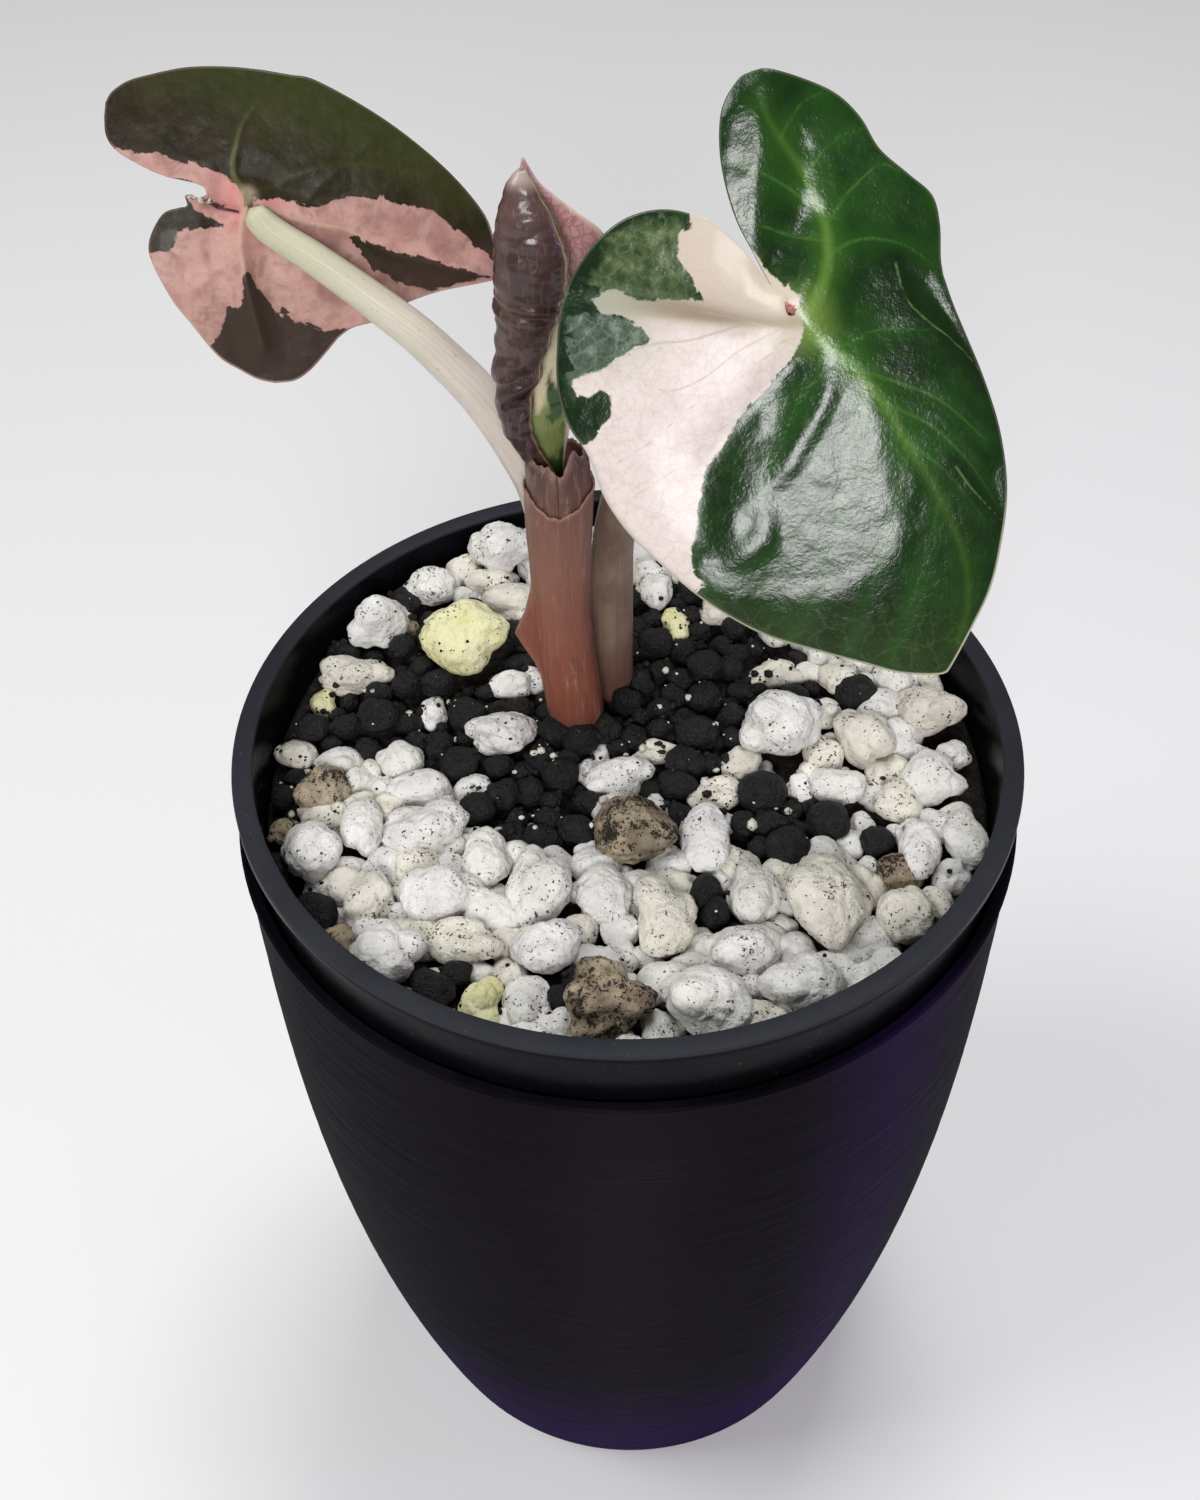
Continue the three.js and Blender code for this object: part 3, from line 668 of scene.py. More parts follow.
def makeLooseLumps():
    for kind in lumpKinds:
        bodies = []
        for i, (own, x, y, width, depth) in enumerate(looseLumps):
            if own == kind:
                height = 0.85 * min(width, depth)
                bodies.append((x, y, float(bedHeight(y)) - 0.2, width, depth, height, 100 + i))
                filled.append((x, y, width / 2, depth / 2))
        heap("loose_lumps_" + kind, bodies, 4, chalk[kind])


def crowded(x, y, radius, closeness):
    for otherX, otherY, halfWidth, halfDepth in filled:
        apart = math.hypot((x - otherX) / (halfWidth + radius), (y - otherY) / (halfDepth + radius))
        if apart < closeness:
            return True
    return any(math.hypot(x - fx, y - fy) < radius + foot for fx, fy, foot in stalkFeet)


def isDark(x, y):
    return any(math.hypot((x - cx) / rx, (y - cy) / ry) < 1 for cx, cy, rx, ry in darkGround)


def makeFillers():
    chance = random.Random(11)
    granules, lumps = [], []
    for i, (x, y, radius) in enumerate(footGranules):
        filled.append((x, y, radius, radius))
        granules.append((x, y, float(bedHeight(y)) + 0.3, 2 * radius, 2 * radius, 1.9 * radius, 900 + i))
    for i in range(fillers["tries"]):
        angle, out = chance.uniform(0, 2 * math.pi), math.sqrt(chance.random())
        early = 1 - i / fillers["tries"]
        x, y = fillers["reach"] * out * math.cos(angle), fillers["reach"] * out * math.sin(angle)
        dark = isDark(x, y)
        least, most = fillers["granule" if dark else "lump"]
        radius = least + (most - least) * early * chance.uniform(0.5, 1)
        if math.hypot(x, y) + radius > fillers["edge"] or crowded(x, y, radius, 0.8 if dark else 0.72):
            continue
        filled.append((x, y, radius, radius))
        ground = float(bedHeight(y))
        if dark:
            bottom = ground + radius * chance.uniform(-0.5, 0.6)
            width, depth = 2 * radius * chance.uniform(0.95, 1.25), 2 * radius * chance.uniform(0.85, 1.15)
            granules.append((x, y, bottom, width, depth, 1.85 * radius, 300 + i))
        else:
            width, depth = 2 * radius * chance.uniform(1, 1.4), 2 * radius * chance.uniform(0.95, 1.25)
            bottom = ground - radius * fillers["sink"]
            lumps.append((x, y, bottom, width, depth, 2 * radius, 300 + i))
    print("fillers:", len(granules), "granules,", len(lumps), "lumps")
    coarse = fillers["coarse"]
    large, fine = granules[:coarse], granules[coarse:]
    heap("loose_granules", large, 4, blackGranule, knobs=5, spread=0.5, rough=0.1)
    if fine:
        heap("fine_granules", fine, 3, blackGranule, knobs=4, spread=0.5, rough=0.12)
    white = [body for i, body in enumerate(lumps[:coarse]) if i % 3]
    heap("small_lumps_cream", lumps[:coarse:3], 4, chalk["cream"])
    heap("small_lumps_white", white, 4, chalk["white"])
    if lumps[coarse:]:
        heap("fine_lumps_white", lumps[coarse:], 3, chalk["white"])


def makeCrumbs():
    # small dark bits lie on everything, most of them where the granules are
    rain = crumbRain
    chance = random.Random(29)
    dark, light = [], []
    view = bpy.context.evaluated_depsgraph_get()
    for i in range(rain["tries"]):
        angle, out = chance.uniform(0, 2 * math.pi), math.sqrt(chance.random())
        x, y = rain["reach"] * out * math.cos(angle), rain["reach"] * out * math.sin(angle)
        size = rain["least"] + rain["more"] * chance.random() ** 3
        if not isDark(x, y):
            if chance.random() < 0.86:
                continue
            size *= 0.55
        start = Vector((x, y, rain["from"])) * mm
        hit, at, *_ = bpy.context.scene.ray_cast(view, start, Vector((0, 0, -1)))
        bottom = (at.z / mm if hit else float(bedHeight(y))) - 0.3 * size
        above = bottom - float(bedHeight(y))
        nearStalk = any(math.hypot(x - fx, y - fy) < rain["offStalks"] for fx, fy, _ in stalkFeet)
        if above > rain["tooHigh"] or nearStalk:
            continue
        if above > rain["onLump"]:
            if i % 3:
                continue
            size *= 0.5
        body = (x, y, bottom, size, size * chance.uniform(0.6, 1.4), size * chance.uniform(0.5, 1), i)
        (light if i % 8 == 0 else dark).append(body)
    heap("dark_crumbs", dark, 1, soilFinish("darkCrumb", 0.8), knobs=1, spread=0.2, rough=0.2)
    heap("pale_crumbs", light, 1, chalk["cream"], knobs=1, spread=0.2, rough=0.2)


makeNodeLumps()
makeLooseLumps()
makeFillers()
makeCrumbs()
print("top dressing spread")


# Crown

crownFinish = Finish("crownSkin", {"Specular IOR Level": 0.3})
rings = crownFinish.noise(1.2, detail=4, stretch=(0.25, 0.25, 1))
crownFinish.paint(
    crownFinish.ramp(rings, [(0.3, (0.05, 0.025, 0.012)), (0.7, (0.2, 0.11, 0.06))]),
    0.75, crownFinish.bump(rings, 0.3),
)
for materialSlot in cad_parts["crown"].material_slots:
    materialSlot.material = crownFinish.material


# Stalks: a grid rolled round a path

stalkLeft = {
    "path": [(-8, 18.6, 124.9), (-8.2, 18.6, 134), (-8.6, 18.5, 147.5), (-10, 18.2, 158),
             (-12.1, 17.9, 164.4), (-16.4, 17.4, 173.2), (-20.9, 17.4, 179.3), (-25.1, 17.8, 183.7),
             (-33.4, 19.8, 189.9), (-38.9, 21.4, 193.3), (-41.1, 22.4, 195.6)],
    "radii": [2.5, 2.6, 2.7, 2.7, 2.6, 2.3, 1.9, 1.6],
}
stalkFront = {
    "path": [(-1.5, 16.6, 124.9), (-1.5, 16.2, 140), (-0.9, 14.8, 156), (2.1, 12.5, 169), (7.6, 8.6, 181),
             (13, 3.8, 190), (16, 0.2, 193.8), (17.5, -2.1, 195.3)],
    "radii": [2.9, 2.8, 2.6, 2.2, 1.9, 1.5],
}


def tubePlaces(path, count):
    # the middle, the sideways and the outward direction at evenly spaced places along a path
    middle = smoothPath(path, count)
    ahead = np.gradient(middle, axis=0)
    ahead /= np.linalg.norm(ahead, axis=1)[:, None]
    across = np.cross(ahead, [0, 1, 0])
    across /= np.linalg.norm(across, axis=1)[:, None]
    return middle, across, np.cross(across, ahead)


def makeStalk(name, stalk, sides=36, steps=130):
    piece, u, v = gridPiece(name, sides, steps)
    middle, across, outward = tubePlaces(stalk["path"], 400)
    at = np.rint(v * 399).astype(int)
    radius = np.interp(v, np.linspace(0, 1, len(stalk["radii"])), stalk["radii"])
    radius = radius * np.minimum(1, np.sqrt(np.clip(1 - ((v - 0.5) * 2) ** 60, 0, 1)))
    angle = u * 2 * math.pi
    ribs = 1 + 0.012 * np.sin(angle * 7 + 3 * np.sin(v * 5)) + 0.02 * np.sin(angle * 2 + v * 9)
    ribs = ribs + 0.012 * crumple(np.stack([np.cos(angle), np.sin(angle), v * 9], axis=1), 0.6, 2)
    side = (radius * ribs * np.cos(angle))[:, None]
    front = (radius * ribs * np.sin(angle))[:, None]
    setPoints(piece, middle[at] + across[at] * side + outward[at] * front)
    mark(piece, along=v)
    weld(piece)
    return piece


def stalkFinish(name, stops, streak, foot, footReach, top, topReach):
    f = Finish(name, {"Specular IOR Level": 0.45, "Subsurface Weight": 0.15,
                      "Subsurface Radius": (0.0018, 0.001, 0.0006), "Subsurface Scale": 0.7})
    along = f.read("along")
    lines = f.noise(1, detail=3, rough=0.6, stretch=(26, 1.6, 1), vector=f.sheet)
    hair = f.noise(1, detail=2, rough=0.6, stretch=(70, 3.5, 1), vector=f.sheet)
    blotch = f.noise(1, detail=3, rough=0.6, stretch=(3, 9, 1), vector=f.sheet)
    specks = f.fade(f.noise(0.4, detail=1), 0.71, 0.76)
    colour = f.ramp(blotch, stops)
    colour = f.blend(f.fade(lines, 0.45, 0.7, 0, 0.45), colour, streak)
    colour = f.blend(f.fade(hair, 0.5, 0.75, 0, 0.4), colour, streak)
    colour = f.blend(f.fade(along, footReach, 0, 0, 0.9), colour, foot)
    colour = f.blend(f.fade(along, topReach, 1, 0, 0.9), colour, top)
    colour = f.blend(f.calc("MULTIPLY", specks, 0.35), colour, (0.12, 0.07, 0.04))
    return f.paint(colour, f.fade(blotch, 0.3, 0.7, 0.36, 0.48), f.bump(lines, 0.16, f.bump(hair, 0.05)))


paleStalk = stalkFinish(
    "paleStalk", [(0.3, (0.66, 0.55, 0.51)), (0.5, (0.72, 0.65, 0.58)), (0.7, (0.63, 0.59, 0.48))],
    (0.5, 0.41, 0.35), (0.5, 0.34, 0.3), 0.35, (0.5, 0.5, 0.33), 0.6)
dullStalk = stalkFinish(
    "dullStalk", [(0.3, (0.15, 0.095, 0.075)), (0.5, (0.25, 0.18, 0.135)), (0.7, (0.33, 0.27, 0.19))],
    (0.13, 0.085, 0.06), (0.13, 0.05, 0.04), 0.3, (0.3, 0.27, 0.14), 0.5)
finishPiece(makeStalk("stalk_left_ribbed", stalkLeft), [paleStalk], ["stalk_left"])
finishPiece(makeStalk("stalk_front_ribbed", stalkFront), [dullStalk], ["stalk_front"])
print("stalks grown")


# Sheath: a salmon sleeve with a notched mouth, a papery torn lining and a loose flap

sheath = {
    "rows": [(124.9, -6.2, 10.3, 3.2), (130, -6.7, 10.3, 3.6), (138, -7.5, 10.3, 3.55),
             (146, -8, 10.3, 3.4), (152, -7.9, 10.4, 3.5), (160, -7.8, 10.5, 3.85), (166, -7.6, 10.5, 4.0),
             (170, -7.7, 10.6, 3.8),
             (174, -7.4, 10.8, 3.4)],  # height, x, y, radius
    "foot": 124.9, "span": 50, "notch": 163.8, "shoulder": 166, "lining": 156, "tear": 170.2, "peak": 1.9,
    "wall": 0.22,
}


def sheathAt(height):
    rows = np.array(sheath["rows"])
    return [np.interp(height, rows[:, 0], rows[:, k]) for k in (1, 2, 3)]


def sheathShare(height):
    return (height - sheath["foot"]) / sheath["span"]


def makeSleeve(name, low, topOf, inset, sides=96, steps=64, crinkle=0.06):
    piece, u, v = gridPiece(name, sides, steps)
    angle = u * 2 * math.pi - math.pi / 2  # the seam is at the front
    top = topOf(angle)
    height = low + (top - low) * v
    x, y, radius = sheathAt(height)
    ring = np.stack([np.cos(angle), np.sin(angle), height / 9], axis=1)
    radius = radius - inset + crinkle * crumple(ring * 3, 1.0, 3) + 0.05 * np.sin(angle * 9 + height * 0.1)
    if inset:
        # the lining fills out above the sleeve, with a ridge down its front
        radius = radius + inset * 0.8 * smoothStep(height, 161, 167) - 0.5 * smoothStep(v, 0.9, 1.0)
        radius = radius + 0.35 * np.exp(-((angle + 1.35) / 0.16) ** 2)
    else:
        radius = radius + 0.12 * smoothStep(v, 0.97, 1.0)
    setPoints(piece, np.stack([x + radius * np.cos(angle), y + radius * np.sin(angle), height], axis=1))
    mark(piece, up=sheathShare(height), mouth=top - height)
    weld(piece)
    thicken(piece, sheath["wall"])
    return piece


def sleeveTop(angle):
    # lowest at the front, where the sleeve has split, and ragged
    away = np.abs(np.angle(np.exp(1j * (angle + math.pi / 2))))
    ragged = 0.35 * crumple(np.stack([np.cos(angle) * 4, np.sin(angle) * 4, angle * 0], axis=1), 0.7, 3)
    return sheath["notch"] + (sheath["shoulder"] - sheath["notch"]) * smoothStep(away, 0, 1.25) + ragged


def liningTop(angle):
    # a rounded piece on the left and a pointed one on the right
    right = np.exp(-((np.angle(np.exp(1j * (angle + 0.95)))) / 0.35) ** 2)
    slit = np.exp(-((np.angle(np.exp(1j * (angle + 1.45)))) / 0.22) ** 2)
    ragged = 0.35 * crumple(np.stack([np.cos(angle) * 4, np.sin(angle) * 4, angle * 0 + 7], axis=1), 0.6, 3)
    return sheath["tear"] + sheath["peak"] * right - 1.2 * slit + ragged


def makeFlap():
    # the sleeve's torn edge stands off on the left
    piece, u, v = gridPiece("sheath_flap", 14, 40)
    height = 152.5 - v * 19
    x, y, radius = sheathAt(height)
    out = np.interp(v, [0, 0.25, 0.4, 0.48, 0.7, 1], [0.1, 1.5, 3.2, 2.7, 1.2, 0.05])
    angle = math.pi + 0.25 + 0.35 * v
    root = np.stack([x + (radius - 0.2) * np.cos(angle), y + (radius - 0.2) * np.sin(angle), height], axis=1)
    away = np.stack([np.full_like(u, -0.93), np.full_like(u, -0.36), 0.1 - 0.25 * u], axis=1)
    setPoints(piece, root + away * (u * out)[:, None])
    mark(piece, up=sheathShare(height), mouth=(1 - u) * out)
    weld(piece)
    thicken(piece, 0.3, offset=0)
    return piece


def sheathFinish(name, stops, stain, tip):
    f = Finish(name, {"Specular IOR Level": 0.4, "Subsurface Weight": 0.12,
                      "Subsurface Radius": (0.002, 0.0009, 0.0006), "Subsurface Scale": 0.6})
    up = f.read("up")
    mouth = f.read("mouth")
    grain = f.noise(0.55, detail=3, rough=0.6, stretch=(1, 1, 0.07))
    hair = f.noise(0.22, detail=2, stretch=(1, 1, 0.04))
    blotch = f.noise(3.2, detail=4, rough=0.62, stretch=(1, 1, 0.35))
    colour = f.ramp(up, stops)
    colour = f.blend(f.fade(blotch, 0.5, 0.72, 0, 0.7), colour, stain)
    colour = f.blend(f.fade(grain, 0.5, 0.8, 0, 0.5), colour, f.blend(0.5, stain, (0.62, 0.4, 0.32)))
    colour = f.blend(f.fade(mouth, 0.9, 0.1, 0, 0.35), colour, tip)
    scuffs = f.noise(1.5, detail=4, rough=0.7, stretch=(1, 1, 0.25))
    colour = f.blend(f.fade(scuffs, 0.58, 0.7, 0, 0.35), colour, (0.5, 0.36, 0.3))
    return f.paint(colour, f.fade(blotch, 0.3, 0.7, 0.38, 0.55), f.bump(grain, 0.2, f.bump(hair, 0.05)))


salmonSheath = sheathFinish("salmonSheath", [
    (0.0, (0.15, 0.045, 0.03)), (0.2, (0.25, 0.078, 0.045)), (0.4, (0.28, 0.105, 0.07)),
    (0.6, (0.25, 0.115, 0.08)), (0.78, (0.19, 0.09, 0.068))], (0.1, 0.042, 0.026), (0.36, 0.22, 0.16))
papery = sheathFinish("paperyLining", [
    (0.7, (0.19, 0.09, 0.068)), (0.85, (0.1, 0.048, 0.038)), (0.97, (0.06, 0.03, 0.024))],
    (0.19, 0.11, 0.085), (0.3, 0.2, 0.15))
sleeve = makeSleeve("leaf_sheath_sleeve", sheath["foot"], sleeveTop, 0)
finishPiece(sleeve, [salmonSheath], ["leaf_sheath"])
finishPiece(makeSleeve("leaf_sheath_lining", sheath["lining"], liningTop, 0.25), [papery])
finishPiece(makeFlap(), [salmonSheath])
print("sheath torn")


# Young leaf: one sheet rolled round itself, open along its right side

youngLeaf = {
    # height, x of the roll's middle, y, half width, x of the inner margin at the back
    "rows": [(164, -8, 10.8, 1.6, -7.4), (168, -9.6, 11, 1.3, -6.9), (171.5, -11.4, 11, 1.5, -6.3),
             (175, -12.3, 11.2, 1.9, -5.8), (178.5, -12.1, 11.6, 2.3, -5), (182, -11.6, 11.9, 2.9, -4.1),
             (185.5, -10.7, 12, 3.15, -3), (189, -10.1, 12, 3.8, -1.9), (192.5, -9.6, 12, 4.2, -1.1),
             (196, -9.5, 12, 4.1, -1.9), (199, -9.8, 12.1, 3.4, -5.4), (201.5, -10.1, 12.3, 2.3, -8.4),
             (203.2, -10.4, 12.6, 1.3, -9.6), (204.3, -10.3, 12.8, 0.25, -10.2)],
    "depth": 0.8, "open": 0.62, "wall": 0.35,
}


def makeYoungLeaf():
    roll = youngLeaf
    piece, u, v = gridPiece("leaf_young_rolled", 120, 140)
    rows = smoothPath(roll["rows"], 300)
    at = np.rint(v * 299).astype(int)
    height, middleX, middleY, half, innerX = rows[at].T
    half = np.maximum(half, 0.05)
    # the outer turn runs from the free margin at the front right round the left to the back
    turn = np.clip(u / roll["open"], 0, 1)
    angle = np.radians(np.interp(turn, [0, 0.06, 1], [-2, -22, -268]))
    tuck = np.interp(turn, [0, 0.05, 0.12, 1], [0.72, 0.95, 1, 0.96])
    dent = 1 - 0.05 * np.exp(-((angle + 2.0) / 0.6) ** 2) * np.sin(height * 0.9)
    x = middleX + half * tuck * dent * np.cos(angle)
    depth = middleY + half * roll["depth"] * tuck * dent * np.sin(angle)
    # then the sheet leaves the roll and runs to its inner margin, which shows behind it
    rest = np.clip((u - roll["open"]) / (1 - roll["open"]), 0, 1)
    backX, backY = x, depth
    endY = middleY + 2.6
    x = np.where(u > roll["open"], backX + (innerX - backX) * rest, x)
    depth = np.where(u > roll["open"], backY + (endY - backY) * rest - 0.5 * np.sin(rest * math.pi), depth)
    ring = np.stack([x, depth, height], axis=1)
    wrinkle = 0.2 * crumple(ring * [0.5, 0.5, 1.3], 1.6, 3)
    folds = 0.26 * np.exp(-((height - 189.5) / 1.7) ** 2) * np.sin(height * 3.4 + angle * 2)
    folds = folds + 0.28 * np.exp(-((height - 180) / 4.5) ** 2) * np.sin(height * 1.5 - angle * 2.2)
    push = (wrinkle + folds) * np.where(u > roll["open"], 0.4, 1)
    points = ring + np.stack([np.cos(angle), np.sin(angle), 0 * u], axis=1) * push[:, None]
    setPoints(piece, points)
    mark(piece, back=(u - roll["open"]) * 14, up=(height - 164) / 40, freeMargin=u * 24,
         innerMargin=(1 - u) * 9)
    weld(piece, 0.001)
    faceAlong(piece, (0, -1, 0))
    return piece


def youngFinish():
    f = Finish("youngLeaf", {"Specular IOR Level": 0.34, "Coat Weight": 0.35, "Coat Roughness": 0.12})
    up, free, inner, back = (f.read(name) for name in ("up", "freeMargin", "innerMargin", "back"))
    cloud = f.noise(3.5, detail=4, rough=0.6, stretch=(1, 1, 0.5))
    net = f.fade(f.cells(0.62, "DISTANCE_TO_EDGE", shake=0.4), 0.16, 0.0)
    veins = f.fade(f.noise(0.7, detail=3, stretch=(1, 1, 0.25), twist=0.6), 0.5, 0.72)
    skin = f.ramp(cloud, [
        (0.3, (0.022, 0.01, 0.009)), (0.52, (0.05, 0.023, 0.02)), (0.72, (0.1, 0.055, 0.042)),
    ])
    skin = f.blend(f.calc("MULTIPLY", veins, 0.3), skin, (0.17, 0.1, 0.085))
    skin = f.blend(f.fade(up, 0.72, 0.95, 0, 0.35), skin, (0.17, 0.1, 0.095))
    uneven = f.fade(f.noise(0.4, detail=2, stretch=(1, 1, 0.3)), 0.4, 0.6, 0.2, 0.8)
    skin = f.blend(f.calc("MULTIPLY", f.fade(free, 2.4, 1.7), uneven), skin, (0.2, 0.125, 0.06))
    seam = f.fade(f.calc("ABSOLUTE", f.calc("SUBTRACT", free, 1.7), 0), 0.16, 0.04)
    skin = f.blend(seam, skin, (0.32, 0.25, 0.13))
    skin = f.blend(f.fade(up, 0.955, 1.0, 0, 0.8), skin, (0.5, 0.4, 0.34))
    pink = f.ramp(cloud, [(0.3, (0.5, 0.25, 0.24)), (0.7, (0.6, 0.37, 0.34))])
    pink = f.blend(f.calc("MULTIPLY", net, 0.7), pink, (0.36, 0.13, 0.14))
    green = f.blend(f.fade(cloud, 0.45, 0.6), (0.03, 0.07, 0.012), (0.2, 0.24, 0.08))
    ragged = f.calc("ADD", up, f.calc("MULTIPLY", f.calc("SUBTRACT", cloud, 0.5), 0.35))
    lower = f.blend(f.fade(ragged, 0.3, 0.36), green, (0.62, 0.55, 0.36))
    inside = f.blend(f.fade(ragged, 0.62, 0.68), lower, pink)
    inside = f.blend(f.fade(inner, 0.5, 0.1), inside, (0.66, 0.5, 0.42))
    colour = f.blend(f.fade(back, -0.3, 0.3), skin, inside)
    roughness = f.fade(cloud, 0.3, 0.7, 0.28, 0.42)
    return f.paint(colour, roughness, f.bump(veins, 0.05, f.bump(cloud, 0.3)))


youngPiece = makeYoungLeaf()
thicken(youngPiece, youngLeaf["wall"], offset=0)
finishPiece(youngPiece, [youngFinish()], ["leaf_young"])
print("young leaf rolled")


# Leaf blades: a band of lines from the main veins out to the margin, in the leaf's own plane.
# There x is to the right, y up and z out of the face that shows, with the stalk's end at zero.

def nearPath(points, path):
    # the distance to an open line, and how far along it the nearest place is
    path = np.array(path, float)
    lengths = np.linalg.norm(np.diff(path, axis=0), axis=1)
    starts = np.concatenate([[0], np.cumsum(lengths)])
    best, share = np.full(len(points), 1e9), np.zeros(len(points))
    for a, b, length, start in zip(path[:-1], path[1:], lengths, starts):
        if not length:
            continue
        along = np.clip(((points - a) @ (b - a)) / length ** 2, 0, 1)
        away = np.linalg.norm(points - a - along[:, None] * (b - a), axis=1)
        share = np.where(away < best, (start + along * length) / starts[-1], share)
        best = np.minimum(best, away)
    return best, share


def insideBy(points, outline):
    # the distance to a closed outline, positive inside
    ring = [*outline, outline[0]]
    away, _ = nearPath(points, ring)
    inside = np.zeros(len(points), bool)
    for (ax, ay), (bx, by) in zip(ring[:-1], ring[1:]):
        if ay != by:
            crosses = (ay > points[:, 1]) != (by > points[:, 1])
            inside ^= crosses & (points[:, 0] < ax + (points[:, 1] - ay) * (bx - ax) / (by - ay))
    return np.where(inside, away, -away)


def insideAny(points, outlines):
    return np.max([insideBy(points, outline) for outline in outlines], axis=0)


def veinBy(points, veins, thick, thin):
    # the distance to the edge of the nearest vein, negative on it; veins taper
    best = np.full(len(points), 1e9)
    for vein in veins:
        away, share = nearPath(points, smoothPath(vein, 60))
        best = np.minimum(best, away - (thick + (thin - thick) * share))
    return best


def leafPlaces(leaf):
    feet, edges = [], []
    for section, outline in enumerate(leaf["margin"]):
        count = leaf["stations"][section // 2]
        vein = smoothPath(leaf["mainVeins"][section // 2], count + 1)
        feet.append((vein[::-1] if section % 2 else vein)[:-1])
        edges.append(smoothPath(outline, count + 1)[:-1])
    return np.vstack(feet), np.vstack(edges)


def makeBlade(name, leaf, relief, marks):
    feet, edges = leafPlaces(leaf)
    piece, u, v = gridPiece(name, len(feet), leaf["rings"])
    station = np.rint(u * len(feet)).astype(int) % len(feet)
    flat = feet[station] * (1 - v)[:, None] + edges[station] * v[:, None]
    z = relief(leaf, flat)
    drawn = flat * (1 - z / leaf["reach"])[:, None]
    lean = Matrix.Rotation(math.radians(leaf["turn"]), 3, "Z") @ \
        Matrix.Rotation(math.radians(90 - leaf["face"]), 3, "X")
    points = np.column_stack([drawn, z]) @ np.array(lean).T + np.array(leaf["at"])
    setPoints(piece, points)
    mark(piece, **marks(leaf, flat, edges))
    weld(piece, 0.003)
    faceAlong(piece, lean @ Vector((0, 0, 1)))
    return piece


def settle(step, slopeX, slopeY, firm, hold, rounds=350):
    # the surface whose slopes come nearest to the wanted ones where they are firm, by conjugate gradients
    firmX, firmY = firm[1:] + firm[:-1], firm[:, 1:] + firm[:, :-1]

    def gather(alongX, alongY):
        total = np.zeros_like(firm)
        total[1:] += alongX
        total[:-1] -= alongX
        total[:, 1:] += alongY
        total[:, :-1] -= alongY
        return total

    def strain(z):
        return gather(firmX * np.diff(z, axis=0), firmY * np.diff(z, axis=1)) + z * (step / hold) ** 2

    wantedX, wantedY = (slopeX[1:] + slopeX[:-1]) * step / 2, (slopeY[:, 1:] + slopeY[:, :-1]) * step / 2
    z = np.zeros_like(firm)
    rest = gather(firmX * wantedX, firmY * wantedY)
    way, size = rest, (rest ** 2).sum()
    for _ in range(rounds):
        push = strain(way)
        reach = size / (way * push).sum()
        z = z + reach * way
        rest = rest - reach * push
        size, before = (rest ** 2).sum(), size
        way = rest + size / before * way
    return z


def lookUp(points, low, step, field):
    place = (points - low) / step
    cell = np.clip(np.floor(place).astype(int), 0, np.array(field.shape) - 2)
    part = np.clip(place - cell, 0, 1)
    i, j = cell.T
    a, b = part.T
    return (field[i, j] * (1 - a) * (1 - b) + field[i + 1, j] * a * (1 - b)
            + field[i, j + 1] * (1 - a) * b + field[i + 1, j + 1] * a * b)


